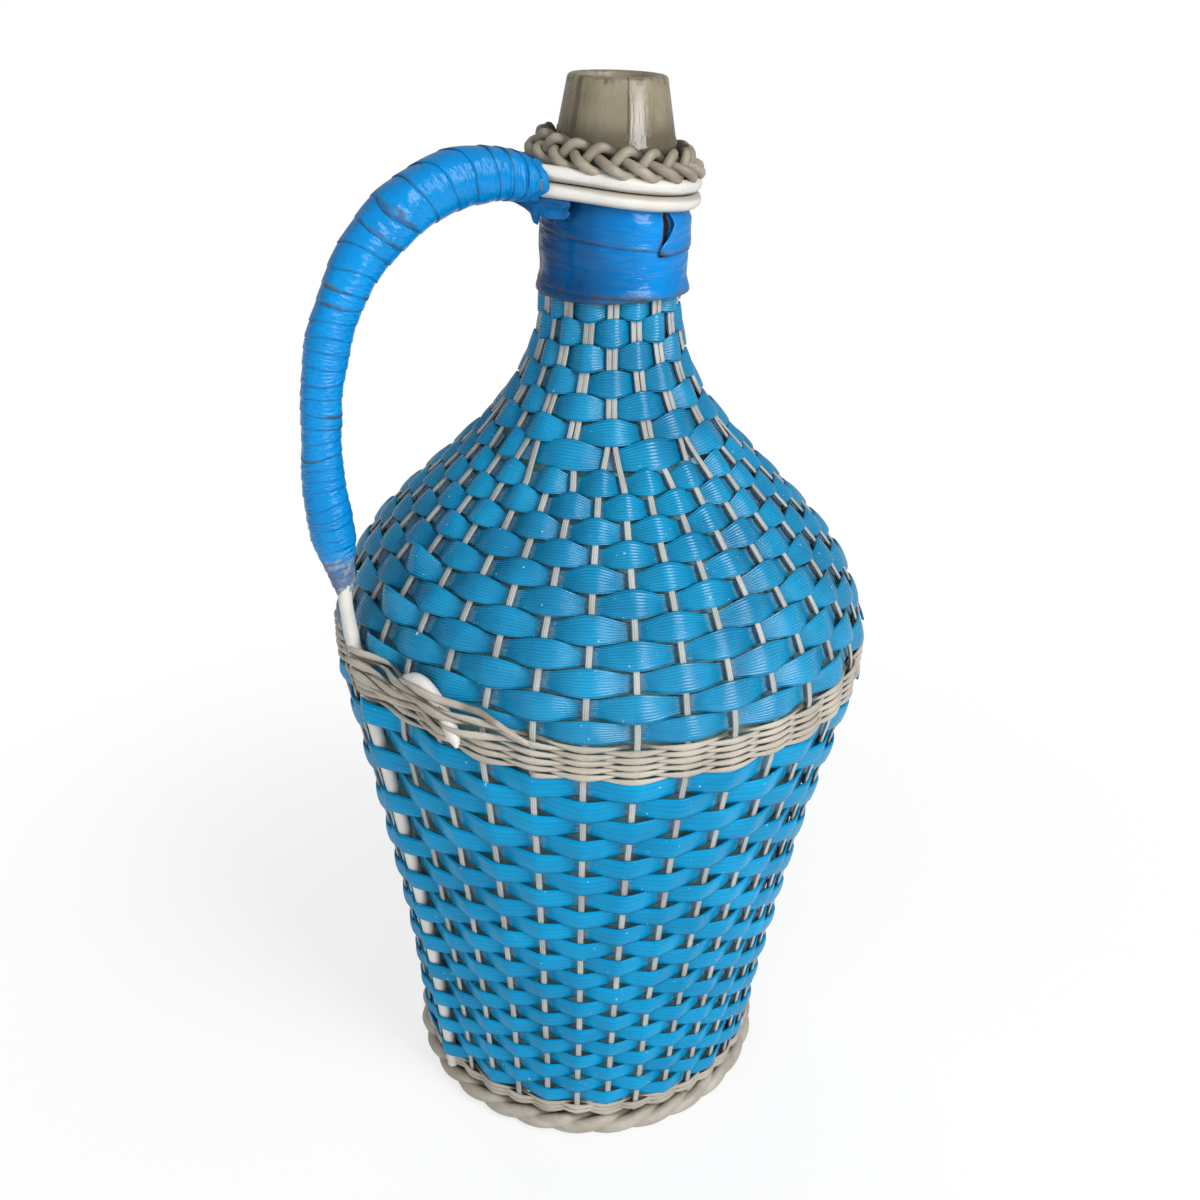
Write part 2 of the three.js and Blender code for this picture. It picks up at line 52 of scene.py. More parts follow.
# %% [markdown]
# ## The camera
# The photograph was taken from a little above the shoulder, with the camera turned slightly.
# A camera matrix can be built from three directions: right, up and backward. Writing them out keeps
# the small roll of the picture, which a Track To constraint would lose.

# %% Camera
CAMERA_AT = Vector((0, -0.4199, 0.4131))
CAMERA_DIP = 0.470
CAMERA_ROLL = 0.034
LENS, SENSOR = 38.31, 36
ahead = Vector((0, math.cos(CAMERA_DIP), -math.sin(CAMERA_DIP)))
level_right = Vector((1, 0, 0))
level_up = level_right.cross(ahead)
right = level_right * math.cos(CAMERA_ROLL) + level_up * math.sin(CAMERA_ROLL)
up = level_up * math.cos(CAMERA_ROLL) - level_right * math.sin(CAMERA_ROLL)
camera = bpy.data.objects.new("camera", bpy.data.cameras.new("camera"))
camera.matrix_world = Matrix((right, up, -ahead)).transposed().to_4x4()
camera.location = CAMERA_AT
camera.data.lens = LENS
camera.data.sensor_width = SENSOR
camera.data.clip_start = 0.01
scene.collection.objects.link(camera)
scene.camera = camera
print("camera at", tuple(round(c, 3) for c in CAMERA_AT))

# %% [markdown]
# ## The line of the jacket
# Every stake follows one line from the foot over the waist and the shoulder to the neck.
# Bezier curves give that line, and a table of it by length lets any strip be laid at a length,
# an angle and a distance outward. All sizes here are in millimetres, as a maker would measure them.

# %% Jacket line
Z_CORD, Z_LOWER, Z_WAIST, Z_SHOULDER = 9.0, 16.8, 184.8, 199.4
Z_NECK, Z_TOP = 316.0, 380.0
FOOT_R, WAIST_R, NECK_R = 67.2, 94.5, 21.8
FOOT_Z, STAKE_TOP_Z = 9.3, 352.1
WALL_PULL, DOME_PULL, NECK_PULL = (75.65, 96.9), (84.9, 247.4), (NECK_R, 261)


def bezier(points, steps):
    t = np.linspace(0, 1, steps)[:, None]
    row = [np.array(p, float) for p in points]
    while len(row) > 1:
        row = [(1 - t) * a + t * b for a, b in zip(row, row[1:])]
    return row[0]


def lengths_of(points):
    return np.concatenate([[0], np.cumsum(np.linalg.norm(np.diff(points, axis=0), axis=1))])


wall_line = bezier([(FOOT_R, FOOT_Z), WALL_PULL, (WAIST_R, Z_WAIST)], 160)
dome_line = bezier([(WAIST_R, Z_SHOULDER), DOME_PULL, NECK_PULL, (NECK_R, Z_NECK)], 160)
corner_line = np.vstack([wall_line, dome_line, [(NECK_R, STAKE_TOP_Z)]])
corner_lengths = lengths_of(corner_line)
JACKET_STEP, SLOPE_REACH = 0.5, 8
jacket_s = np.arange(0, corner_lengths[-1], JACKET_STEP)
jacket_r = np.interp(jacket_s, corner_lengths, corner_line[:, 0])
jacket_z = np.interp(jacket_s, corner_lengths, corner_line[:, 1])


def even_out(values, reach):
    """Running mean of evenly spaced values, with the ends held."""
    wide = 2 * reach + 1
    return np.convolve(np.pad(values, reach, "edge"), np.full(wide, 1 / wide), "valid")


slope_r = even_out(np.gradient(jacket_r), SLOPE_REACH)
slope_z = even_out(np.gradient(jacket_z), SLOPE_REACH)
slope = np.hypot(slope_r, slope_z)


def length_at(z):
    return float(np.interp(z, jacket_z, jacket_s))


def around(r, angle, z):
    """Points round the upright axis, in metres."""
    return np.column_stack([r * np.cos(angle), r * np.sin(angle), z]) * MM


def on_jacket(s, angle, offset):
    """Points at a length, an angle and a distance outward, in metres."""
    out_r = np.interp(s, jacket_s, slope_z / slope)
    out_z = -np.interp(s, jacket_s, slope_r / slope)
    r = np.interp(s, jacket_s, jacket_r) + offset * out_r
    return around(r, angle, np.interp(s, jacket_s, jacket_z) + offset * out_z)


DOME_BASE, DOME_END = length_at(Z_SHOULDER), length_at(Z_NECK)
print("jacket line", round(corner_lengths[-1]), "mm long")

# %% [markdown]
# ## Helpers for sheets and strands
# A strip starts as a flat grid from one bmesh operator, the way it comes off the roll. Its vertices
# are then bent into place all at once, and a Solidify modifier gives it its thickness.
# A strand starts as a curve with a round bevel. Each finished piece rides on the body,
# stands for its nodes and takes its finish.

# %% Helpers
BODY = "root"
TIP_END = 0.2
finished = []


def mesh_from(bm, name):
    mesh = bpy.data.meshes.new(name)
    bm.to_mesh(mesh)
    bm.free()
    return mesh


def flat_sheet(along, across):
    """A flat grid, with each vertex's share along (0 to 1) and its place across (-1 to 1)."""
    bm = bmesh.new()
    bmesh.ops.create_grid(bm, x_segments=along, y_segments=across, size=1)
    mesh = mesh_from(bm, "sheet")
    flat = np.empty(len(mesh.vertices) * 3)
    mesh.vertices.foreach_get("co", flat)
    flat = flat.reshape(-1, 3)
    return mesh, (flat[:, 0] + 1) / 2, flat[:, 1]


def bend(mesh, places, u, v, **notes):
    """Moves the vertices, keeps u and v as a UV map, and stores other values as attributes."""
    mesh.vertices.foreach_set("co", np.asarray(places, float).ravel())
    corner = np.empty(len(mesh.loops), int)
    mesh.loops.foreach_get("vertex_index", corner)
    layer = mesh.uv_layers.new(name="run")
    layer.data.foreach_set("uv", np.column_stack([u, v])[corner].ravel())
    for name, values in notes.items():
        mesh.attributes.new(name, "FLOAT", "POINT").data.foreach_set("value", np.asarray(values, float))
    mesh.update()


def keep(name, data, nodes, finish, thickness=None):
    """Makes the object, rides it on the body and hides the nodes it stands for."""
    piece = bpy.data.objects.new(name, data)
    scene.collection.objects.link(piece)
    data.materials.append(finish)
    if isinstance(data, bpy.types.Mesh):
        data.polygons.foreach_set("use_smooth", np.ones(len(data.polygons), bool))
    if thickness:
        solid = piece.modifiers.new("thickness", "SOLIDIFY")
        solid.thickness = thickness * MM
        solid.offset = -1
    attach(piece, BODY)
    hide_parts(*nodes)
    finished.append(name)


def strand_curve(name, routes, radius, closed=False, sides=3, tip=0):
    """A round strand along rows of points in metres. Its last points can taper to a cut tip."""
    curve = bpy.data.curves.new(name, "CURVE")
    curve.dimensions = "3D"
    curve.bevel_depth = radius * MM
    curve.bevel_resolution = sides
    curve.use_fill_caps = True
    for route in routes:
        spline = curve.splines.new("POLY")
        spline.points.add(len(route) - 1)
        spline.points.foreach_set("co", np.column_stack([route, np.ones(len(route))]).ravel())
        spline.use_cyclic_u = closed
        if tip:
            taper = np.ones(len(route))
            taper[-tip:] = np.linspace(1, TIP_END, tip)
            spline.points.foreach_set("radius", taper)
    return curve


def ripple(seed, coords, waves=7):
    """Smooth made-up unevenness from -1 to 1, the same on every run."""
    rng = np.random.RandomState(seed)
    total = np.zeros(len(coords[0]))
    for _ in range(waves):
        total += np.sin(sum(rng.normal() * c for c in coords) + rng.uniform(0, TURN))
    return total / waves ** 0.5 / 1.5


print("helpers ready")

# %% [markdown]
# ## Shader arithmetic
# Node graphs read best as arithmetic. The class below wraps one socket, so that `1 - mask` adds
# the Math node for us, and its one method makes any other node from its type, settings and inputs.

# %% Wires
class Wire:
    tree = None

    def __init__(self, socket):
        self.socket = socket

    @classmethod
    def node(cls, kind, settings=None, inputs=None, output=0):
        made = cls.tree.nodes.new("ShaderNode" + kind)
        for name, value in (settings or {}).items():
            setattr(made, name, value)
        for name, value in (inputs or {}).items():
            cls.feed(made.inputs[name], value)
        return cls(made.outputs[output])

    @classmethod
    def feed(cls, socket, value):
        if isinstance(value, Wire):
            cls.tree.links.new(value.socket, socket)
        elif socket.type == "RGBA":
            socket.default_value = (*value, 1)
        else:
            socket.default_value = value

    def beside(self, output):
        """Another output of the same node."""
        return Wire(self.socket.node.outputs[output])

    def math(self, operation, *others):
        return Wire.node("Math", {"operation": operation}, dict(enumerate((self, *others))))

    def __add__(self, other):
        return self.math("ADD", other)

    __radd__ = __add__

    def __mul__(self, other):
        return self.math("MULTIPLY", other)

    __rmul__ = __mul__

    def __sub__(self, other):
        return self.math("SUBTRACT", other)

    def __rsub__(self, other):
        return Wire.node("Math", {"operation": "SUBTRACT"}, {0: other, 1: self})

    def step(self, low, high):
        """0 below low, 1 above high, smooth between."""
        settings = {"interpolation_type": "SMOOTHSTEP"}
        inputs = {"Value": self, "From Min": low, "From Max": high}
        return Wire.node("MapRange", settings, inputs)


print("shader arithmetic ready")

# %% [markdown]
# ## Helpers for finishes
# Every finish below is built from a few tools: noise for clouds and stains, stretched noise for streaks,
# a blend of two colours, and the values that were stored on the mesh when a piece was bent. Patterns
# that belong to the jug read its own frame, and patterns that run along a strip read the strip's map.

# %% Finish helpers
def blend(share, one, other):
    """A colour between two colours."""
    return Wire.node("Mix", {"data_type": "RGBA"}, {0: share, 6: one, 7: other}, 2)


def darker(colour, share):
    return tuple(c * share for c in colour)


def place():
    """The point in the jug's own frame, in metres."""
    return Wire.node("TexCoord", output="Object")


def noise(vector, scale, detail=3.0, roughness=0.55):
    inputs = {"Vector": vector, "Scale": scale, "Detail": detail, "Roughness": roughness}
    return Wire.node("TexNoise", None, inputs)


def stretched(vector, scale):
    return Wire.node("VectorMath", {"operation": "MULTIPLY"}, {0: vector, 1: scale})


def vector_length(vector):
    return Wire.node("VectorMath", {"operation": "LENGTH"}, {0: vector}, "Value")


def note(name):
    """A value that was stored on the mesh."""
    return Wire.node("Attribute", {"attribute_name": name}, output="Fac")


def run_map():
    """The piece's own map: the length along it first, the place across it second."""
    return Wire.node("UVMap", {"uv_map": "run"})


def across_of(run):
    return Wire.node("SeparateXYZ", None, {0: run}, "Y")


def new_finish(name, **constants):
    """An empty finish: a Principled shader with its plain numbers set."""
    finish = bpy.data.materials.new(name)
    finish.use_nodes = True
    Wire.tree = finish.node_tree
    shader = Wire.tree.nodes["Principled BSDF"]
    for socket, value in constants.items():
        shader.inputs[socket.replace("_", " ")].default_value = value
    return finish, shader


def surface(shader, colour, roughness, height, depth):
    """Links what changes over the surface. The depth of its bumps is in metres."""
    Wire.feed(shader.inputs["Base Color"], colour)
    Wire.feed(shader.inputs["Roughness"], roughness)
    bump = Wire.node("Bump", None, {"Height": height, "Strength": 1.0, "Distance": depth})
    Wire.feed(shader.inputs["Normal"], bump)


print("finish helpers ready")

# %% [markdown]
# ## Finishes of the woven strips
# The shoulder strips are extruded with about nine fine ribs along them, and the lower ones are
# smoother. Both carry grey-brown dust where they dive beside a stake, and pale scuffs on the crests.
# The attribute `lift` (1 on a crest, -1 in a dip) says where dust stays and where hands have rubbed,
# and it also darkens the dips with painted shade. The grooves between the ribs get painted shade too.

# %% Strip finishes
def strip_finish(name, deep, bright, ribs, rib_depth, scuff_share, gloss, clean_level):
    finish, shader = new_finish(name, Specular_IOR_Level=gloss)
    run = run_map()
    across = across_of(run)
    spot = place()
    lift = note("lift")
    patch = noise(spot, 38.0, 4.0)
    streak = noise(stretched(run, (0.16, 9.0, 1.0)), 1.0, 4.0, 0.6)
    colour = blend(patch.step(0.3, 0.75), deep, bright)
    colour = blend(streak.step(0.45, 0.8) * 0.3, colour, darker(deep, 0.6))
    wave = (across * (ribs * math.pi)).math("SINE")
    # Painted shade in the grooves between the ribs.
    colour = blend(wave.step(-0.2, -1.0) * 0.28, colour, darker(deep, 0.55))
    # Painted shade: the dips, where the strip passes behind a stake, are darker.
    low = (0 - lift).step(0.0, 0.9)
    colour = blend(low * 0.2, colour, darker(deep, 0.6))
    grain = noise(stretched(run, (0.5, 6.0, 1.0)), 1.0, 6.0, 0.7)
    grit = noise(spot, 900.0, 4.0, 0.7)
    deepest = (0 - lift).step(0.35, 1.0)
    dust = (deepest * 0.6 + grit * 0.85 + grain * 0.8 - clean_level).step(0.0, 0.45)
    dust_tint = blend(noise(spot, 400.0, 3.0), (0.20, 0.18, 0.145), (0.42, 0.40, 0.36))
    colour = blend(dust * 0.55, colour, dust_tint)
    fleck = noise(stretched(run, (0.55, 7.0, 1.0)), 1.0, 3.0, 0.75)
    crest = lift.step(0.35, 1.0)
    scuff = (fleck + crest * 0.05 + noise(spot, 140.0, 2.0) * 0.28).step(0.88, 0.98) * scuff_share
    speck = noise(spot, 780.0, 2.0, 0.4).step(0.75, 0.785)
    colour = blend(scuff.math("MAXIMUM", speck * 0.85), colour, (0.50, 0.58, 0.60))
    rough = 0.2 + dust * 0.4 + patch * 0.1 + scuff * 0.25
    height = wave * rib_depth + grain * 0.06 + dust * 0.1
    surface(shader, colour, rough, height, 0.00022)
    return finish


shoulder_finish = strip_finish(
    "shoulder_strip_finish", (0.0005, 0.155, 0.315), (0.001, 0.255, 0.48),
    ribs=9, rib_depth=0.32, scuff_share=0.7, gloss=0.42, clean_level=1.2)
wall_finish = strip_finish(
    "wall_strip_finish", (0.0005, 0.195, 0.39), (0.001, 0.28, 0.54),
    ribs=4, rib_depth=0.1, scuff_share=1.0, gloss=0.1, clean_level=1.1)
print("strip finishes:", shoulder_finish.name, wall_finish.name)

# %% [markdown]
# ## Finishes of stakes, cords and rods
# The stakes are cloudy plastic with grooves, which are darkened with painted shade. The cords and the
# foot border have yellowed to beige. Dirt and painted shade darken their hollows, following how deep a point
# lies below the outermost face. The rods are white plastic with smears, with dirt and painted shade in the
# groove between their loops and below them.

# %% Stake, cord and rod finishes
STAKE_RIBS = 3


def stake_finish():
    finish, shader = new_finish("stake_finish", Subsurface_Weight=0.12, Subsurface_Scale=0.0015)
    run = run_map()
    across = across_of(run)
    spot = place()
    groove = (across * (STAKE_RIBS * math.pi)).math("COSINE")
    cloud = noise(spot, 55.0, 4.0)
    colour = blend(cloud.step(0.3, 0.7), (0.29, 0.30, 0.285), (0.42, 0.435, 0.425))
    # Painted shade in the grooves.
    colour = blend(groove.step(0.1, -1.0) * 0.4, colour, (0.15, 0.135, 0.11))
    stain = (noise(spot, 120.0, 5.0) + noise(stretched(run, (0.3, 2.0, 1.0)), 1.0, 4.0) * 0.5)
    colour = blend(stain.step(0.86, 1.1) * 0.5, colour, (0.19, 0.155, 0.115))
    edge = across.math("ABSOLUTE").step(0.7, 1.0)
    colour = blend(edge * 0.35, colour, (0.20, 0.17, 0.13))
    surface(shader, colour, 0.38 + cloud * 0.2, groove * 0.25, 0.00012)
    return finish


def band_finish(name, pale, dark, dirt_and_shade_colour):
    """Beige ribbon cord: dirty, with painted shade, where it dives, as `lift` says, and along its edges."""
    finish, shader = new_finish(name, Specular_IOR_Level=0.35)
    run = run_map()
    across = across_of(run)
    spot = place()
    lift = note("lift")
    cloud = noise(spot, 70.0, 4.0)
    colour = blend(cloud.step(0.3, 0.72), dark, pale)
    fibre = noise(stretched(run, (0.12, 3.0, 1.0)), 1.0, 4.0, 0.6)
    colour = blend(fibre.step(0.45, 0.75) * 0.4, colour, darker(dark, 0.6))
    # Painted shade where the cord dives and along its edges, mixed with dirt from noise.
    low = (0.1 - lift).step(0.0, 0.9)
    rim = across.math("ABSOLUTE").step(0.75, 1.0)
    dirt_and_shade = (low * 0.75 + rim * 0.2 + noise(spot, 160.0, 5.0) * 0.9 - 0.64).step(0.0, 0.7)
    colour = blend(dirt_and_shade * 0.85, colour, dirt_and_shade_colour)
    chalk = noise(spot, 210.0, 4.0, 0.7).step(0.6, 0.75)
    colour = blend(chalk * 0.3, colour, (0.55, 0.525, 0.47))
    surface(shader, colour, 0.38 + dirt_and_shade * 0.35 + cloud * 0.1, fibre + dirt_and_shade * 0.5, 0.0002)
    return finish


def cord_finish(name, pale, dark, dirt_and_shade_colour, deep_from, deep_to):
    """Beige round cord: dirty and darker, with painted shade, from the radius deep_from inward to deep_to, in
    metres.
    """
    finish, shader = new_finish(name, Specular_IOR_Level=0.4)
    spot = place()
    radius = vector_length(stretched(spot, (1, 1, 0)))
    cloud = noise(spot, 70.0, 4.0)
    colour = blend(cloud.step(0.3, 0.72), dark, pale)
    fibre = noise(stretched(spot, (60.0, 60.0, 900.0)), 1.0, 3.0)
    colour = blend(fibre.step(0.5, 0.8) * 0.35, colour, darker(dark, 0.62))
    # Painted shade: darker deeper in, towards the jug, mixed with dirt from noise.
    deep = radius.step(deep_from, deep_to)
    dirt_and_shade = (deep * 0.95 + noise(spot, 150.0, 5.0) * 0.9 - 0.5).step(0.0, 0.75)
    colour = blend(dirt_and_shade * 0.85, colour, dirt_and_shade_colour)
    chalk = noise(spot, 210.0, 4.0, 0.7).step(0.6, 0.75)
    colour = blend(chalk * 0.35, colour, (0.55, 0.525, 0.47))
    surface(shader, colour, 0.42 + dirt_and_shade * 0.35 + cloud * 0.1, fibre + dirt_and_shade * 0.5, 0.00015)
    return finish


LOOP_TILT = 0.115
LOOP_GROOVE, LOOP_UNDERSIDE = 0.34945, 0.3446


def rod_finish():
    """White plastic. `level` follows the tilted loops, whose groove and underside are dirty, with painted
    shade.
    """
    finish, shader = new_finish("rod_finish", Specular_IOR_Level=0.4)
    spot = place()
    x = Wire.node("SeparateXYZ", None, {0: spot})
    level = x.beside("Z") + x * LOOP_TILT
    cloud = noise(spot, 45.0, 4.0)
    colour = blend(cloud.step(0.3, 0.75), (0.505, 0.49, 0.45), (0.60, 0.588, 0.55))
    # Painted shade in the groove between the loops and below them, mixed with dirt.
    groove = 1 - (level - LOOP_GROOVE).math("ABSOLUTE").step(0.0004, 0.0022)
    low_edge = 1 - level.step(LOOP_UNDERSIDE, LOOP_UNDERSIDE + 0.002)
    neck_only = level.step(0.335, 0.34)
    smear = noise(stretched(spot, (90.0, 90.0, 240.0)), 1.0, 5.0)
    dirt_and_shade = ((groove + low_edge * 0.6) * neck_only * 0.9 + smear * 0.8 - 0.48).step(0.0, 0.8)
    colour = blend(dirt_and_shade * 0.62, colour, (0.25, 0.205, 0.15))
    speck = noise(spot, 520.0, 2.0).step(0.7, 0.76)
    colour = blend(speck * 0.5, colour, (0.28, 0.24, 0.18))
    surface(shader, colour, 0.34 + smear * 0.25, smear + cloud, 0.0002)
    return finish


stake_plastic = stake_finish()
waist_beige = band_finish(
    "waist_cord_finish", (0.44, 0.405, 0.345), (0.34, 0.31, 0.26), (0.15, 0.125, 0.095))
foot_beige = band_finish(
    "foot_cord_finish", (0.43, 0.395, 0.335), (0.32, 0.29, 0.235), (0.15, 0.12, 0.085))
border_beige = cord_finish(
    "foot_border_finish", (0.41, 0.38, 0.325), (0.29, 0.262, 0.215), (0.10, 0.08, 0.055), 0.0696, 0.0655)
braid_beige = cord_finish(
    "neck_braid_finish", (0.30, 0.265, 0.21), (0.20, 0.172, 0.13), (0.045, 0.036, 0.025), 0.0246, 0.0212)
rod_white = rod_finish()
print("stake, cord and rod finishes ready")

# %% [markdown]
# ## Finishes of the tape and the glass
# The tape is glossy vinyl. Dirt sticks to the glue along every lapped edge, which the attribute
# `edge` marks; under the peeled end of the neck tape it also carries a painted shadow. Round the neck
# the tape is darker on the side away from the lamp, which is painted shade. The glass is grey-green
# under brown dust, paler and cleaner on the lip, and darker towards the foot of the lip. A painted
# dark line splits the reflection of the lamp on the lip.

# %% Tape and glass finishes
def tape_finish(name, deep, bright, dirt_and_shade_share):
    finish, shader = new_finish(name, Specular_IOR_Level=0.24)
    run = run_map()
    spot = place()
    edge = note("edge")
    cloud = noise(spot, 42.0, 4.0)
    # The stored tone sets how light the tape is; round the neck it holds painted shade, darker away from the
    # lamp.
    colour = blend(cloud.step(0.3, 0.7) * 0.35 + note("clean") * 0.65, deep, bright)
    thin = noise(stretched(run, (0.35, 2.4, 1.0)), 1.0, 5.0, 0.65)
    colour = blend(thin.step(0.55, 0.8) * 0.3, colour, darker(deep, 0.55))
    grime = noise(spot, 150.0, 6.0, 0.7)
    dirt_and_shade = (edge * 0.62 + grime * 1.25 + thin * 0.35 - 1.12).step(0.0, 0.5)
    colour = blend(dirt_and_shade * dirt_and_shade_share, colour, (0.05, 0.045, 0.032))
    film = (noise(spot, 75.0, 6.0, 0.7) + edge * 0.1).step(0.66, 0.78)
    colour = blend(film * dirt_and_shade_share * 0.4, colour, (0.15, 0.17, 0.15))
    # Painted shadow: near black where the edge value passes 1.1, in the slit under the peeled end of the neck
    # tape.
    colour = blend((edge - 1.1).step(0.0, 0.3), colour, (0.002, 0.003, 0.006))
    worn = (note("fade") * 1.1 + grime * 0.8 - 0.75).step(0.0, 0.5)
    glue = blend(grime.step(0.4, 0.65), (0.13, 0.10, 0.085), (0.36, 0.40, 0.40))
    colour = blend(worn * 0.85, colour, glue)
    crumple = noise(stretched(run, (0.22, 0.4, 1.0)), 1.0, 3.0, 0.45)
    rough = 0.13 + dirt_and_shade * 0.45 + film * 0.25 + worn * 0.4
    surface(shader, colour, rough, crumple + thin * 0.05 + dirt_and_shade * 0.1, 0.0009)
    return finish


def upright_line(azimuth, turn, width):
    """1 on a vertical line of the bottle at that turn in degrees, 0 beside it."""
    away = (azimuth - math.radians(turn)).math("ABSOLUTE")
    return 1 - away.step(width * 0.35, width)


SEAM_TURN, REFLECTION_GAP_TURN = -136, -78


def glass_finish():
    finish, shader = new_finish("glass_finish", IOR=1.5, Transmission_Weight=0.5, Specular_IOR_Level=0.5)
    spot = place()
    x = Wire.node("SeparateXYZ", None, {0: spot})
    height = x.beside("Z")
    azimuth = x.beside("Y").math("ARCTAN2", x)
    lip = height.step(0.352, 0.358)
    cloud = noise(spot, 60.0, 5.0)
    streak = noise(stretched(spot, (190.0, 190.0, 10.0)), 1.0, 5.0, 0.65)
    body = blend(cloud.step(0.3, 0.7), (0.34, 0.72, 0.76), (0.42, 0.80, 0.84))
    body = blend(noise(spot, 130.0, 5.0).step(0.5, 0.72) * 0.45, body, (0.42, 0.37, 0.29))
    clear = blend(cloud.step(0.25, 0.75), (0.30, 0.255, 0.165), (0.42, 0.37, 0.265))
    clear = blend(streak.step(0.52, 0.72) * 0.5, clear, (0.17, 0.145, 0.10))
    ragged = streak * 0.05 - 0.025
    seam = upright_line(azimuth + ragged, SEAM_TURN, 0.10) * 0.7
    # Painted reflection: a thin dark upright line splits the lamp's reflection on the lip in two.
    reflection_gap = upright_line(azimuth + ragged, REFLECTION_GAP_TURN, 0.035) * 0.8
    clear = blend(seam.math("MAXIMUM", reflection_gap), clear, (0.09, 0.075, 0.052))
    # The lip is darker towards the bottom.
    darker_below = (1 - height.step(0.3625, 0.3695)) * 0.75
    clear = blend(darker_below, clear, (0.13, 0.105, 0.07))
    chip = noise(stretched(spot, (420.0, 420.0, 160.0)), 1.0, 4.0) * height.step(0.3755, 0.3785)
    clear = blend(chip.step(0.48, 0.62) * 0.7, clear, (0.12, 0.10, 0.075))
    colour = blend(lip, body, clear)
    rim = height.step(0.368, 0.380)
    rough = 0.08 + streak.step(0.45, 0.7) * 0.2 + (1 - lip) * 0.3 + rim * 0.25
    surface(shader, colour, rough, streak + cloud * 0.8, 0.00035)
    return finish


handle_vinyl = tape_finish("handle_tape_finish", (0.0004, 0.13, 0.35), (0.0008, 0.25, 0.63), 0.85)
neck_vinyl = tape_finish("neck_tape_finish", (0.0003, 0.034, 0.115), (0.0006, 0.195, 0.55), 0.9)
dusty_glass = glass_finish()
print("tape and glass finishes ready")

# %% [markdown]
# ## The glass bottle
# A bottle is turned from one outline. The outline is drawn once round the wall, outside and inside,
# as a loop of edges, and the spin operator sweeps it through a full turn. The wall follows the jacket
# line, the base is pushed up, and the lip above the collar tapers to a rounded rim.

# %% Glass bottle
GLASS_GAP, GLASS_WALL = 4.4, 3.4
COLLAR_R, LIP_R, BORE_R, LIP_ROUND = 19.2, 15.6, 11.3, 1.5
PUNT_R, PUNT_MID_R, PUNT_HEIGHT, FOOT_ROUND = 38.0, 20.0, 9.0, 4.0
BORE_ROUND = 1.3
collar = [(17.8, 350.5), (18.7, 353.5), (COLLAR_R, 357), (COLLAR_R, 361.0), (18.6, 362.6)]
lip_side = [(17.6, 368), (LIP_R + 0.5, 376)]
bore = [(BORE_R, 366), (BORE_R, 350)]


def glass_side(depth, low, high, steps):
    s = np.linspace(low, high, steps)
    points = on_jacket(s, np.zeros(steps), -depth) / MM
    return [(x, z) for x, _, z in points]


def arc(centre, radius, start, end, steps):
    turn = np.radians(np.linspace(start, end, steps))
    return [(centre[0] + radius * math.cos(a), centre[1] + radius * math.sin(a)) for a in turn]


glass_foot_r = FOOT_R - GLASS_GAP
punt = [(0.0, FOOT_Z + PUNT_HEIGHT), (PUNT_MID_R, FOOT_Z + PUNT_HEIGHT * 0.8), (PUNT_R, FOOT_Z)]
outline = punt + arc((glass_foot_r - FOOT_ROUND, FOOT_Z + FOOT_ROUND), FOOT_ROUND, -90, 0, 5)
outline += glass_side(GLASS_GAP, low=12, high=length_at(346), steps=60)
outline += collar + lip_side
outline += arc((LIP_R - LIP_ROUND, Z_TOP - LIP_ROUND), LIP_ROUND, 10, 90, 6)
outline += arc((BORE_R + BORE_ROUND, Z_TOP - BORE_ROUND), BORE_ROUND, 90, 180, 5)
outline += bore + glass_side(GLASS_GAP + GLASS_WALL, low=16, high=length_at(318), steps=40)[::-1]
outline += [(r, z + GLASS_WALL) for r, z in punt[::-1]]
bm = bmesh.new()
ring = [bm.verts.new((r * MM, 0, z * MM)) for r, z in outline]
edges = [bm.edges.new(pair) for pair in zip(ring, ring[1:])]
bmesh.ops.spin(bm, geom=ring + edges, axis=(0, 0, 1), cent=(0, 0, 0), angle=TURN, steps=72, use_merge=True)
bmesh.ops.remove_doubles(bm, verts=bm.verts, dist=1e-6)
bmesh.ops.recalc_face_normals(bm, faces=bm.faces)
bottle_mesh = mesh_from(bm, "glass_bottle_visual")
keep("bottle_glass", bottle_mesh, ["glass_bottle"], dusty_glass)
print("bottle:", len(bottle_mesh.polygons), "faces")

# %% [markdown]
# ## The stakes
# Thirty-seven stakes stand evenly round the wall and the shoulder. Near the neck there isn't room for
# all of them side by side, so they run in pairs from there on. One place is taken by a leg of the handle.
# Each is a narrow sheet with a crowned, grooved face, bent along the jacket line.

# %% Stakes
STAKES = 37
PAIRS = 19
FIRST_STAKE = math.radians(-140.6)
STAKE_STEP = TURN / STAKES
STAKE_WIDTH, STAKE_NECK_WIDTH, STAKE_HALF = 2.2, 1.9, 0.65
UPPER_PITCH, SHOULDER_TURNS = 7.95, 11
SHOULDER_START = DOME_BASE + 1.8
PAIRING_LEAD, PAIRING_RUN, PAIR_GAP = 1.5, 15.0, 0.05
STAKE_START, SHORT_STAKE_START = 1.0, DOME_BASE - 2
STAKE_ROWS, STAKE_COLUMNS, STAKE_THICKNESS = 110, 8, 1.1
STAKE_WANDER, EDGE_DROP, RIB_HEIGHT = 0.22, 0.38, 0.07


def pairing(k, s):
    """How far stake k has moved from its own place to its place in a pair."""
    place_in_row = (k + STAKES - 2) % STAKES + 1
    start = SHOULDER_START + UPPER_PITCH * (SHOULDER_TURNS - 1 + place_in_row / STAKES) - PAIRING_LEAD
    return np.clip((s - start) / PAIRING_RUN, 0, 1)


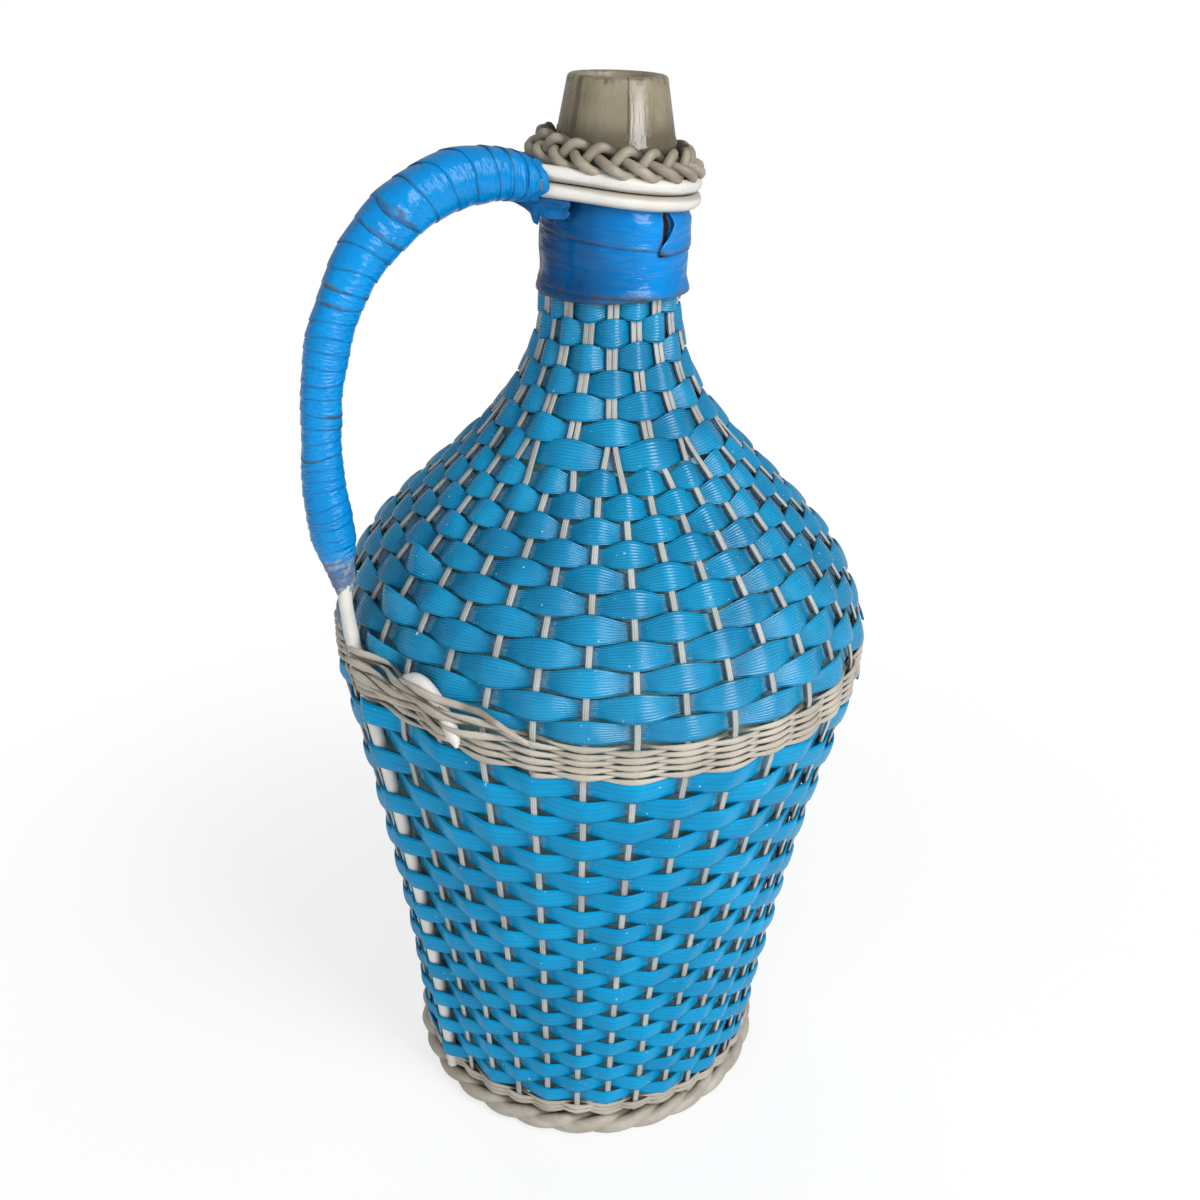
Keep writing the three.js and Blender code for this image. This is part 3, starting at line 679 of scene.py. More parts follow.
def stake_angle(k, s):
    """The angle of stake k at a length: spread evenly below, gathered into pairs near the neck."""
    spread = FIRST_STAKE + k * STAKE_STEP
    pair = (k + 1) // 2
    side = 0.0 if k == 0 else 0.5 - (k % 2)
    abreast = side * (STAKE_NECK_WIDTH + PAIR_GAP) / np.interp(s, jacket_s, jacket_r)
    gathered = FIRST_STAKE + max(0, 2 * pair - 0.5) * STAKE_STEP + abreast
    return spread + (gathered - spread) * pairing(k, s)


for k in range(STAKES):
    start = SHORT_STAKE_START if k == 0 else STAKE_START
    mesh, share, across = flat_sheet(STAKE_ROWS, STAKE_COLUMNS)
    s = start + share * (jacket_s[-1] - start)
    width = STAKE_WIDTH + (STAKE_NECK_WIDTH - STAKE_WIDTH) * pairing(k, s)
    wander = STAKE_WANDER * ripple(300 + k, [s / 14])
    angle = stake_angle(k, s) + (across * -width / 2 + wander) / np.interp(s, jacket_s, jacket_r)
    crown = STAKE_HALF - EDGE_DROP * across ** 4 + RIB_HEIGHT * np.cos(across * STAKE_RIBS * math.pi)
    bend(mesh, on_jacket(s, angle, crown), s, across)
    keep(f"stake_{k + 1:02d}_visual", mesh, [f"stake_{k + 1:02d}"], stake_plastic, STAKE_THICKNESS)
print("stakes:", STAKES)

# %% [markdown]
# ## The waist line
# The band at the waist isn't quite level: the handle has pulled it up on its own side, and the rows
# under it are stretched with it. One small rise by angle is used for every piece that it touches.

# %% Waist rise
WAIST_RISE, RISE_ANGLE, RISE_WIDTH, RISE_DEPTH = 7.0, -142.0, 27.0, 70.0
BAND_HEIGHT = 15.0


def smooth(t):
    """0 below 0, 1 above 1, smooth between."""
    t = np.clip(t, 0, 1)
    return t * t * (3 - 2 * t)


def waist_rise(angle):
    """How far the waist line is pulled up at an angle in radians, in mm."""
    away = (np.degrees(angle) - RISE_ANGLE + 180) % 360 - 180
    return WAIST_RISE * np.exp(-(away / RISE_WIDTH) ** 2)


def stretch_wall(s, angle, lift):
    """Pulls the rows of the wall up with the waist line, less and less towards the foot."""
    share = smooth((s - DOME_BASE + BAND_HEIGHT + RISE_DEPTH) / RISE_DEPTH)
    return s + waist_rise(angle) * share, lift


print("waist rises", WAIST_RISE, "mm beside the handle")

# %% [markdown]
# ## Weaving a strip
# A strip goes outside one stake and inside the next, round and round in a spiral. It could be simulated,
# but a list of its crossings with the stakes says all that matters: where each one is, how far out the
# strip lies there and how wide it is. The strip is eased from crossing to crossing, roundly where it
# is soft and more squarely where it is stiff.

# %% Weaving
CELLS, CROSSING_RUN = 8, 10


def crossing(low, high, angle, lift, tilt, over):
    """A crossing of a strip that lies between two lengths: middle, angle, lift, half width, tilt, side."""
    return (low + high) / 2, angle, lift, (high - low) / 2, tilt, 1.0 if over else -1.0


def weave(mesh, share, across, crossings, squareness=0.0, cup=0.34, crown=0.0, press=None):
    """Bends a flat strip through its crossings."""
    count = len(crossings) - 1
    along = np.clip(share * count, 0, count - 1e-6)
    index = along.astype(int)
    part = along - index
    eased = (1 - np.cos(math.pi * part)) / 2
    eased = eased * (1 - squareness) + part * squareness
    plain = crossings[index] * (1 - part[:, None]) + crossings[index + 1] * part[:, None]
    curved = crossings[index] * (1 - eased[:, None]) + crossings[index + 1] * eased[:, None]
    s, angle = plain[:, 0], plain[:, 1]
    lift, half, tilt, side = curved[:, 2], curved[:, 3], curved[:, 4], curved[:, 5]
    if press:
        s, lift = press(s, angle, lift)
    offset = lift - (cup * side + crown) * across ** 2 + tilt * across
    bend(mesh, on_jacket(s + across * half, angle, offset), along * CROSSING_RUN, across, lift=side)


def lay_strip(name, node, slot, finish, crossings, columns, thickness, **shape):
    """Cuts a flat strip for its crossings, weaves it and keeps it as a piece."""
    mesh, share, across = flat_sheet((len(crossings) - 1) * CELLS, columns)
    weave(mesh, share, across, np.array(crossings), **shape)
    keep(name, mesh, [node], finish, thickness)


print("a strip has", CELLS, "cells from one crossing to the next")

# %% [markdown]
# ## The crossings of a strip
# With an odd number of stakes a strip comes out on the other side of each stake one turn later, so one
# strip weaves a whole zone. No hand weaves evenly, so the lift, width and tilt of each crossing have a
# little chance in them. The first and last rows taper where the zone ends.

# %% Crossings
LEG_LIFT, OVER_LEG, UNDER_LEG = 1.5, 3.6, -3.1
NARROWEST = 1.6


def even_rows(turns):
    """Rows that are as far apart and as wide all the way."""
    return turns, 1.0


def strip_crossings(rng, start, pitch, numbers, first, over_half, under_half, rise, room,
                    loosened=None, spacing=even_rows):
    """Chooses the crossings of a strip over the single stakes. Its ends taper where the room ends."""
    rows = []
    for n in numbers:
        k = (first + n) % STAKES
        turns, wide = spacing(n / STAKES)
        s = start + pitch * turns
        over = n % 2 == 0
        lift = (rise if over else -rise) * rng.uniform(0.88, 1.16)
        half = (over_half if over else under_half) * rng.uniform(0.965, 1.03) * wide
        angle = FIRST_STAKE + STAKE_STEP * (first + n) + rng.normal() * 0.0025
        if s > SHOULDER_START:
            angle += float(stake_angle(k, np.array(s))) - (FIRST_STAKE + k * STAKE_STEP)
        tilt = rng.normal() * 0.10
        if k == 0 and s < DOME_BASE:
            lift = LEG_LIFT + (OVER_LEG if over else UNDER_LEG)
        if loosened and over:
            extra, lean = loosened(s, angle)
            lift += extra
            tilt += lean
        s += rng.normal() * 0.16
        floor_s = room[0] + (float(waist_rise(angle)) if loosened else 0)
        low, high = max(s - half, floor_s), min(s + half, room[1])
        if high - low < NARROWEST:
            continue
        rows.append(crossing(low, high, angle, lift, tilt, over))
    return rows


print("a strip crosses", STAKES, "stakes in a turn")

# %% [markdown]
# ## The strip of the shoulder
# One ribbed strip covers the shoulder. Beside the handle a few of its crests have sprung outward, so the
# crossings there are lifted and tilted.

# %% Shoulder strip
LOOSE_TURN, LOOSE_HEIGHT = -140, 29
LOOSE_WIDE, LOOSE_HIGH = 7, 22
SPRUNG, SPRUNG_LEAN = 3.0, 2.9


def loose_by_handle(s, angle):
    """A few crests beside the handle have sprung outward, most at their upper edge."""
    turn = math.degrees(angle) % 360 - 360
    near = math.exp(-((turn - LOOSE_TURN) / LOOSE_WIDE) ** 4)
    near *= math.exp(-((s - DOME_BASE - LOOSE_HEIGHT) / LOOSE_HIGH) ** 4)
    return SPRUNG * near, SPRUNG_LEAN * near


STRIP, UPPER_COLUMNS = 0.8, 8
rng = np.random.RandomState(11)
SHOULDER_LAST = SHOULDER_TURNS * STAKES - 2
room = (DOME_BASE - 0.6, DOME_END)
numbers = range(-STAKES, SHOULDER_LAST + 1)
rows = strip_crossings(rng, SHOULDER_START - 0.4, UPPER_PITCH, numbers, first=1, over_half=4.65,
                       under_half=2.9, rise=1.75, room=room, loosened=loose_by_handle)
lay_strip("shoulder_strip", "shoulder_weaver", "upper_strip", shoulder_finish, rows, UPPER_COLUMNS, STRIP)
print("shoulder strip:", len(rows), "crossings")

# %% [markdown]
# ## The strip at the neck
# Higher up the strip goes over and under pairs of stakes, so it is laid by pairs. The same helper
# bends it, and only the list of crossings is new.

# %% Neck strip
NECK_STRIP_TOP = DOME_END + 2.0
NECK_OVER, NECK_UNDER, FIRST_ROW_EXTRA = 4.75, 2.9, 0.75
NECK_LIFT, NECK_DIP = 1.9, -1.5
NECK_GAP, NECK_OVERRUN, NECK_DROP = 1.4, 2.6, 0.9
neck_start = SHOULDER_START + UPPER_PITCH * SHOULDER_TURNS + NECK_GAP
neck_total = int((NECK_STRIP_TOP + NECK_OVERRUN - neck_start) / UPPER_PITCH * PAIRS)
rows = []
for n in range(neck_total + 1):
    s = neck_start + UPPER_PITCH * n / PAIRS - NECK_DROP + rng.normal() * 0.12
    pair = n % PAIRS
    one = float(stake_angle(2 * pair, np.array(s)))
    other = one if pair == 0 else float(stake_angle(2 * pair - 1, np.array(s)))
    turns = (n // PAIRS) * TURN
    over = n % 2 == 0
    lift = (NECK_LIFT if over else NECK_DIP) * rng.uniform(0.9, 1.12)
    half = (NECK_OVER if over else NECK_UNDER) * rng.uniform(0.97, 1.03)
    half += FIRST_ROW_EXTRA * max(0, 1 - n / PAIRS)
    low, high = s - half, min(s + half, NECK_STRIP_TOP)
    rows.append(crossing(low, high, (one + other) / 2 + turns, lift, rng.normal() * 0.08, over))
lay_strip("neck_strip", "neck_weaver", "upper_strip", shoulder_finish, rows, UPPER_COLUMNS, STRIP)
print("neck strip:", neck_total, "crossings")

# %% [markdown]
# ## The strips of the wall
# Below the waist the strip is flatter and bends more sharply round the stakes. It is woven in two
# lengths, whose ends meet behind a stake. The rows are drawn wider apart at the waist than at the foot.

# %% Lower strips
LOWER_TURNS, LOWER_FIRST_LENGTH = 20, 10
ROW_EASE, LOWER_EDGE, LOWER_COLUMNS = 0.14, 3.7, 6
lower_top = length_at(Z_WAIST) - LOWER_EDGE
lower_room = lower_top - length_at(Z_LOWER) - LOWER_EDGE
lower_pitch = -lower_room / LOWER_TURNS
room = (length_at(Z_LOWER) - 0.5, length_at(Z_WAIST) + 0.3)
half_way = LOWER_FIRST_LENGTH * STAKES + 1


def wall_rows(turns):
    """Rows that are wider and further apart at the waist than at the foot."""
    share = turns / LOWER_TURNS
    return turns * (1 + ROW_EASE * (1 - share)), 1 + ROW_EASE * (1 - 2 * share)


lower_lengths = [
    ("wall_strip_upper", "lower_weaver_upper_length", range(-STAKES, half_way + 1)),
    ("wall_strip_lower", "lower_weaver_lower_length", range(half_way, (LOWER_TURNS + 1) * STAKES)),
]
for name, node, numbers in lower_lengths:
    rows = strip_crossings(rng, lower_top, lower_pitch, numbers, first=4, over_half=4.1,
                           under_half=3.6, rise=1.85, room=room, spacing=wall_rows)
    lay_strip(name, node, "lower_strip", wall_finish, rows, LOWER_COLUMNS, STRIP,
              squareness=0.72, press=stretch_wall)
print("lower strips:", LOWER_TURNS, "rows,", round(-lower_pitch, 2), "mm apart")

# %% [markdown]
# ## The line of the handle
# Two bent rods make the handle. Each goes up from the shoulder, once round the neck and back down,
# so four lengths lie together under the tape. Points can be placed along the bend of the handle, at a
# distance outward and sideways, as they are on the jacket, and both the rods and the tape are laid that way.

# %% Handle line
HANDLE_ANGLE = math.radians(-148)
ROD_R, ROD_STEP, LOOP_R = 2.3, 4.9, 25.54
LOOP_LOW, HANDLE_START = 347.0, 36.0
FOOT_UP, FOOT_GAP = 14, 2.54
HANDLE_TOP, HANDLE_OUT, HANDLE_MID = 352, 102, 272
HANDLE_PULLS = [(67, 358.3), (HANDLE_OUT, 334)]
foot_r, _, foot_z = on_jacket(np.array([DOME_BASE + FOOT_UP]), np.zeros(1), 0)[0] / MM
HANDLE_FOOT = (foot_r + FOOT_GAP + ROD_R + ROD_STEP / 2, foot_z)
upper_bend = bezier([(HANDLE_START, HANDLE_TOP), *HANDLE_PULLS, (HANDLE_OUT, HANDLE_MID)], 200)
lower_bend = bezier([(HANDLE_OUT, HANDLE_MID), (HANDLE_OUT, (2 * HANDLE_MID + HANDLE_FOOT[1]) / 3),
                     (HANDLE_FOOT[0], (HANDLE_MID + 2 * HANDLE_FOOT[1]) / 3), HANDLE_FOOT], 120)
INWARD = 8.0
first_step = upper_bend[1] - upper_bend[0]
inward_point = upper_bend[0] - first_step / np.linalg.norm(first_step) * INWARD
handle_line = np.vstack([inward_point, upper_bend, lower_bend[1:]])
handle_lengths = lengths_of(handle_line) - INWARD
HANDLE_LENGTH = float(handle_lengths[-1])
handle_dir = np.gradient(handle_line, handle_lengths, axis=0)
handle_dir /= np.linalg.norm(handle_dir, axis=1)[:, None]
SIDEWAYS = np.array([-math.sin(HANDLE_ANGLE), math.cos(HANDLE_ANGLE), 0])


def on_handle(length, outward, sideways):
    """Points along the handle, moved outward from its bend and sideways, in metres."""
    r = np.interp(length, handle_lengths, handle_line[:, 0])
    z = np.interp(length, handle_lengths, handle_line[:, 1])
    along_r = np.interp(length, handle_lengths, handle_dir[:, 0])
    along_z = np.interp(length, handle_lengths, handle_dir[:, 1])
    r, z = r - along_z * outward, z + along_r * outward
    flat = np.column_stack([r * math.cos(HANDLE_ANGLE), r * math.sin(HANDLE_ANGLE), z])
    return (flat + np.outer(sideways, SIDEWAYS)) * MM


def neck_loop(z):
    """The turn of a rod round the neck, from the handle back to it."""
    away = math.acos(LOOP_R / HANDLE_START)
    turn = HANDLE_ANGLE - away - np.linspace(0, TURN - 2 * away, 90)
    return around(LOOP_R, turn, z - LOOP_TILT * LOOP_R * np.cos(turn))


print("handle", round(HANDLE_LENGTH), "mm along its middle")

# %% [markdown]
# ## The rods and their ends
# One end goes on down the wall in the place of a stake, and another lies along the waist band. A rod's
# route is strung together: up under the tape, round the neck, down again and over the jacket. The ends lie
# as they were pushed in, so their last stretches are short lists of places. A rod is
# stiff, so the corners between the stretches are eased.

# %% Handle rods
ROD_POINTS, ROD_ASIDE = 80, ROD_STEP / 2
TAPE_END = HANDLE_LENGTH - 12
SWING_FROM, SWING_RUN, HIDDEN_SHORT = 34, 26, 28
OUTER_TIP, LEG_STEPS = 7, 50
down = np.linspace(0, HANDLE_LENGTH, ROD_POINTS)
swing = smooth((down - HANDLE_LENGTH + SWING_FROM) / SWING_RUN)


def hidden_leg(outward):
    """The leg of a rod that ends under the tape, from its end up to the neck."""
    up_to_end = np.linspace(0, TAPE_END - HIDDEN_SHORT, ROD_POINTS)
    return on_handle(up_to_end, outward * ROD_ASIDE, np.full(ROD_POINTS, -ROD_ASIDE))[::-1]


def seen_leg(outward, swing_out, swing_aside):
    """The leg that comes out of the tape. It swings aside near the foot of the handle."""
    out = outward * ROD_ASIDE * (1 - swing_out * swing)
    return on_handle(down, out, ROD_ASIDE * (1 - swing_aside * swing))[:-3]


def along_table(rows, steps):
    """Angle, length and lift of a rod on the jacket, eased between the rows of a table."""
    rows = np.array(rows, float)
    at = np.linspace(0, len(rows) - 1, steps)
    table = np.column_stack([np.interp(at, np.arange(len(rows)), column) for column in rows.T])
    for _ in range(steps // 4):
        table[1:-1] = (table[:-2] + 2 * table[1:-1] + table[2:]) / 4
    return np.radians(table[:, 0]), DOME_BASE + table[:, 1], table[:, 2]


tail_rows = [(-148, 10.5, 5.5), (-146, 6.5, 4.0), (-142.5, 2.4, 2.6), (-138, 0.6, 2.0), (-133.5, 1.0, 2.0),
             (-130, 4.6, 2.8), (-127.5, 8.4, 4.2), (-125, 9.8, 5.0), (-122.5, 8.2, 4.6), (-120, 4.0, 3.0),
             (-117, -0.6, 4.0), (-115, -3.4, 6.6), (-114.4, -4.8, 7.6)]
leg_rows = [(-146, 9.5, 5.2), (-145, 4.0, 3.8), (-143.4, -2.0, 2.2), (-141.9, -8.0, 1.4),
            (-140.9, -14.0, 1.3), (-140.6, -20.0, 1.5)]
tail_angle, tail_s, tail_lift = along_table(tail_rows, 60)
leg_angle, leg_s, leg_lift = along_table(leg_rows, 40)
outer_route = np.vstack([
    hidden_leg(1),
    neck_loop(LOOP_LOW + ROD_STEP),
    seen_leg(1, swing_out=1.5, swing_aside=1.9),
    on_jacket(tail_s, tail_angle, tail_lift),
])
leg_down = np.linspace(leg_s[-1] - 3, 0.5, LEG_STEPS)
inner_route = np.vstack([
    hidden_leg(-1),
    neck_loop(LOOP_LOW),
    seen_leg(-1, swing_out=1.25, swing_aside=-0.1),
    on_jacket(leg_s, leg_angle, leg_lift),
    on_jacket(leg_down, np.full(LEG_STEPS, FIRST_STAKE), LEG_LIFT),
])


def eased_route(route, rounds=3):
    """Takes the corners out of a rod, which is stiff, and leaves its two ends."""
    for _ in range(rounds):
        route = np.vstack([route[:1], (route[:-2] + 2 * route[1:-1] + route[2:]) / 4, route[-1:]])
    return route


for name, route, tip in (("rod_outer", outer_route, OUTER_TIP), ("rod_inner", inner_route, 0)):
    rod = strand_curve(name + "_visual", [eased_route(route)], ROD_R, sides=5, tip=tip)
    keep(name, rod, ["handle_" + name], rod_white)
print("rods laid")

# %% [markdown]
# ## Cords over the rods
# Beside the handle the band of the waist is slack and rides over the rods. A soft cord could be
# simulated there. It is simpler to measure how far a rod sticks out under each point of the cord, to lift
# the cord clear of it, and to ease that lift along the cord.

# %% Cords over the rods
CORD_COLUMNS = 4
WAIST_MARGIN_LOW, WAIST_MARGIN_HIGH, FOOT_MARGIN = 0.6, 1.4, 1.1
waist_low = length_at(Z_WAIST) + WAIST_MARGIN_LOW
BAND_FOLLOW, BAND_SPREAD = 0.95, 0.2
SLACK_RISE, SLACK_LIFT, ROD_CLEAR = 4.6, 2.0, ROD_R + 0.75
SLACK_FROM, SLACK_IN, SLACK_TO, SLACK_OUT = -150, 24, -112, 20
FREE_TIP = 9
rod_s = np.concatenate([tail_s[:-FREE_TIP], leg_s])
rod_turn = np.concatenate([tail_angle[:-FREE_TIP], leg_angle])
rod_lift = np.concatenate([tail_lift[:-FREE_TIP], leg_lift])
near_by = range(-2, 3)


def over_rods(s, angle, lift):
    """Raises the cords with the waist line and lifts them over the rods that lie there."""
    turn = (angle + TURN) % TURN - TURN
    height = np.clip((s - waist_low) / (DOME_BASE - waist_low), 0, 1)
    degrees = np.degrees(turn)
    slack = smooth((degrees - SLACK_FROM) / SLACK_IN) * (1 - smooth((degrees - SLACK_TO) / SLACK_OUT))
    slack = slack * height ** 2
    s = s + waist_rise(turn) * (BAND_FOLLOW + BAND_SPREAD * height) + SLACK_RISE * slack
    lift = lift + SLACK_LIFT * slack
    away = np.hypot(s[:, None] - rod_s, (turn[:, None] - rod_turn) * WAIST_R)
    rod_top = rod_lift + np.sqrt(np.clip(ROD_CLEAR ** 2 - away ** 2, 0, None))
    rod_top = np.where(away < ROD_CLEAR, rod_top, -ROD_CLEAR).max(axis=1)
    need = np.clip(rod_top - lift, 0, None).reshape(CORD_COLUMNS + 1, -1).max(axis=0)
    need = np.max([np.roll(need, k) for k in near_by], axis=0)
    for _ in range(2):
        need = np.mean([np.roll(need, k) for k in near_by], axis=0)
    return s, lift + np.tile(need, CORD_COLUMNS + 1)


print("rod points under the waist band:", len(rod_s))

# %% [markdown]
# ## The cords of the waist and the foot
# Soft beige cords are woven through the stakes in close rows, which binds the two kinds of strip together.
# Pulled over a stake the cord spreads flat, and behind a stake it is squeezed narrow, so it is woven
# like the strips, from a narrow sheet with a crowned face. One end at the waist has come loose.

# %% Cord bands
CORD_LIFT, CORD_DIP, CORD_THICKNESS = 1.8, -0.85, 1.0
CORD_SHAPE = {"squareness": 0.15, "cup": 0.0, "crown": 0.55}


def cord_crossings(rng, low, pitch, turns, first, over_half, under_half):
    rows = []
    for n in range(turns * STAKES + 1):
        over = n % 2 == 0
        s = low + pitch * n / STAKES + rng.normal() * 0.09
        lift = (CORD_LIFT if over else CORD_DIP) * rng.uniform(0.9, 1.12)
        half = (over_half if over else under_half) * rng.uniform(0.9, 1.1)
        angle = FIRST_STAKE + STAKE_STEP * (first + n)
        rows.append(crossing(s - half, s + half, angle, lift, rng.normal() * 0.06, over))
    return np.array(rows)


def loose_end(rows):
    """The last end of the cord isn't tucked in: it stands off, curls down and thins."""
    place_on_line, lift, half = 0, 2, 3
    rows[-2:, place_on_line] += (0.6, -1.4)
    rows[-2:, lift] = (2.4, 3.8)
    rows[-2:, half] = (1.1, 0.8)
    return rows


WAIST_TURNS, FOOT_TURNS = 10, 5
waist_pitch = (DOME_BASE - WAIST_MARGIN_HIGH - waist_low) / WAIST_TURNS
rows = cord_crossings(rng, waist_low, waist_pitch, WAIST_TURNS, first=4, over_half=1.2, under_half=0.2)
lay_strip("waist_band", "waist_cord", "cord", waist_beige, loose_end(rows), CORD_COLUMNS, CORD_THICKNESS,
          press=over_rods, **CORD_SHAPE)
foot_low = length_at(Z_CORD) + FOOT_MARGIN
foot_pitch = (length_at(Z_LOWER) - FOOT_MARGIN - foot_low) / FOOT_TURNS
rows = cord_crossings(rng, foot_low, foot_pitch, FOOT_TURNS, first=9, over_half=1.3, under_half=0.25)
lay_strip("foot_band", "foot_cord", "cord", foot_beige, rows, CORD_COLUMNS, CORD_THICKNESS, **CORD_SHAPE)
print("waist pitch", round(waist_pitch, 2), "mm, foot pitch", round(foot_pitch, 2), "mm")

# %% [markdown]
# ## The rolled foot border
# At the foot the stake ends are rolled over one another into a thick rope-like border, which the jug
# stands on. Four strands wind round a ring together, each a closed curve, flattened to the height
# of the border.

# %% Foot border
BORDER_STRANDS, BORDER_TURNS = 4, 7
BORDER_R, BORDER_Z, BORDER_STRAND_R = 64.4, 4.7, 2.8
BORDER_WIDE, BORDER_HIGH = 4.2, 1.9
turn = np.linspace(0, TURN, 640, endpoint=False)
border_routes = []
for i in range(BORDER_STRANDS):
    phase = BORDER_TURNS * turn + TURN * i / BORDER_STRANDS
    r = BORDER_R + BORDER_WIDE * np.cos(phase)
    border_routes.append(around(r, turn, BORDER_Z + BORDER_HIGH * np.sin(phase)))
border = strand_curve("foot_border_visual", border_routes, BORDER_STRAND_R, closed=True)
keep("rolled_border", border, ["foot_border"], border_beige)
print("border strands:", BORDER_STRANDS)

# %% [markdown]
# ## The tape on the handle
# Vinyl tape is wound over the rods, each turn lapping the one before. The strip is wider than its pitch:
# its leading edge lies on top and its other edge is buried. It is wound by hand, so the place of every lap
# and the girth along the handle are given as lists, and ripples make the puckers and lumps.

# %% Tape on the handle
TAPE_STEPS, TAPE_COLUMNS, TAPE_THICKNESS = 44, 10, 0.28
TAPE_LAPS = [-5, -3.4, -1.6, 1, 4.5, 9.5, 19, 28, 33, 42.5, 50, 56, 63, 68, 72.5, 78, 83, 86.5, 91.5,
             96, 100, 105.5, 109, 113.5, 118, 122, 125.5, 130, 134.5, 138, 142, 145.5, 149, 152.5, 156,
             159, 162, 165.5]
TAPE_GIRTH = [(-6, 6.6), (0, 7.6), (10, 8.7), (20, 9.2), (30, 9.0), (40, 8.8), (48, 8.3), (57, 8.1),
              (65, 7.5), (82, 7.1), (91, 6.8), (109, 6.5), (119, 6.6), (133, 7.2), (139, 7.3), (146, 7.0),
              (152, 5.8), (158, 4.2), (166, 2.7)]
TAPE_TURNS = len(TAPE_LAPS) - 2
LAP_REACH, FIRST_LAP_PULL, BURIED = 26, 1.6, 0.55
TURN_LENGTH, TAPE_HALF = 44, 8
LAP_UNEVEN, START_TEAR, PUCKER, LUMP, RODS_SHOW = 0.32, 2.8, 0.6, 0.45, 0.15
END_RUN, END_ASIDE, FRAY_FROM, FRAY_RUN, FRAYED = 26, 1.6, 30, 22, 0.68


def read_off(table, at):
    """The second column of a table at a place in its first, straight between the rows."""
    first, second = np.array(table, float).T
    return np.interp(at, first, second)


fine_turns = np.linspace(-1, TAPE_TURNS + 1.5, 2000)
fine_place = even_out(read_off(list(enumerate(TAPE_LAPS)), fine_turns), LAP_REACH)
fine_place += np.minimum(fine_turns, 0) * FIRST_LAP_PULL
mesh, share, across = flat_sheet(TAPE_TURNS * TAPE_STEPS, TAPE_COLUMNS)
turns = share * TAPE_TURNS
angle = turns * TURN
lead = 1 + LAP_UNEVEN * ripple(5, [np.cos(angle) * 1.2, np.sin(angle) * 1.2, turns * 3.1])
lap = -BURIED + (across + 1) / 2 * (lead + BURIED)
at = np.interp(turns + lap, fine_turns, fine_place)
at -= START_TEAR * np.clip(1.6 - turns, 0, 1) * ripple(6, [np.cos(angle) * 4, np.sin(angle) * 4], 8)
radius = read_off(TAPE_GIRTH, at) - 0.35 + 0.3 * np.clip(lap, -0.3, 1.2)
pucker = np.abs(ripple(21, [at / 4.2, np.cos(angle) * 1.5, np.sin(angle) * 1.5], 6))
lump = ripple(22, [at / 10, np.cos(angle) * 1.1, np.sin(angle) * 1.1])
radius += PUCKER * (0.4 - pucker) + LUMP * lump - RODS_SHOW * np.cos(4 * angle)
low_end = smooth((at - TAPE_END + END_RUN) / END_RUN)
flare = 1 + 0.09 * np.clip(3 - at, 0, 9)
aside = END_ASIDE * low_end + 0.5 * np.clip(1 - at, 0, 6)
places = on_handle(np.clip(at, -INWARD + 0.5, HANDLE_LENGTH - 2), radius * np.cos(angle),
                   aside - radius * flare * np.sin(angle))
edge = np.clip((lap - 0.9) / 0.1, 0, 1) + np.clip(1 - np.abs(lap) / 0.1, 0, 1) * 0.6
frayed = smooth((at - TAPE_END + FRAY_FROM) / FRAY_RUN) * FRAYED
bend(mesh, places, turns * TURN_LENGTH, across * TAPE_HALF, edge=edge, fade=frayed,
     clean=np.full(len(at), 0.6))
keep("handle_tape_visual", mesh, ["handle_tape"], handle_vinyl, TAPE_THICKNESS)
print("handle tape:", TAPE_TURNS, "turns")

# %% [markdown]
# ## The tape round the neck
# A wider tape binds the neck. It goes down over the first strips, climbs under the rods and ends in
# front, where its end has peeled a little over a slit, whose shadow is painted dark. It is one long sheet
# wound in layers, laid here from its outer end inward. Its left side, away from the lamp, is darkened
# with painted shade.

# %% Tape round the neck
NECK_TAPE_STEPS, NECK_TAPE_COLUMNS, NECK_TAPE_THICKNESS = 90, 18, 0.3
NECK_TAPE_HALF, NECK_TAPE_HIGH = 9.5, 353.0
PEEL_TURN, PEEL_Z, PEEL_RUN, PEEL_ROUND, PEEL_LIFT = -52, 338.5, 0.035, 6.3, 1.6
SLIT_Z, SLIT_HIGH, SLIT_SHIFT, SLIT_WIDE, SLIT_SHADOW = 338, 5.5, 1.2, 3.2, 2.2
UNDER_RODS_Z, OVER_STRIPS_Z, STRIP_ROOM = 340.5, 315, 1.35
LAYER, NECK_REACH, TAPE_MIDDLE_R, SIDE_BULGE = 0.3, 24, 22.5, 1.1
STAIN_TURN, STAIN_WIDE, STAIN_Z, STAIN_HIGH = -172, 15, 325, 12
NECK_TAPE_MID = [(0, PEEL_Z), (0.144, PEEL_Z), (0.394, 343), (0.644, 346), (0.894, 342), (1.144, 337.8),
                 (1.394, 332), (1.644, 328), (1.894, 326.3), (2.144, 325), (2.394, 324.8), (2.644, 324),
                 (2.894, 325), (3.144, 326), (3.394, 326), (3.644, 332), (3.894, 335), (4.4, 334)]
NECK_TAPE_TURNS = NECK_TAPE_MID[-1][0]
fine_turns = np.linspace(0, NECK_TAPE_TURNS, 800)
fine_mid = even_out(read_off(NECK_TAPE_MID, fine_turns), NECK_REACH)
mesh, share, across = flat_sheet(int(NECK_TAPE_TURNS * NECK_TAPE_STEPS), NECK_TAPE_COLUMNS)
turns = share * NECK_TAPE_TURNS
start_edge = np.exp(-turns / PEEL_RUN)
ragged = 0.11 * (1 - across ** 2) + 0.05 * ripple(7, [across * 6], 9)
angle = math.radians(PEEL_TURN) + turns * TURN + start_edge * ragged
z = np.interp(turns, fine_turns, fine_mid) + across * NECK_TAPE_HALF + 0.35 * ripple(8, [turns * 9])
z = np.minimum(z, NECK_TAPE_HIGH)
level = z + LOOP_TILT * TAPE_MIDDLE_R * np.cos(angle)
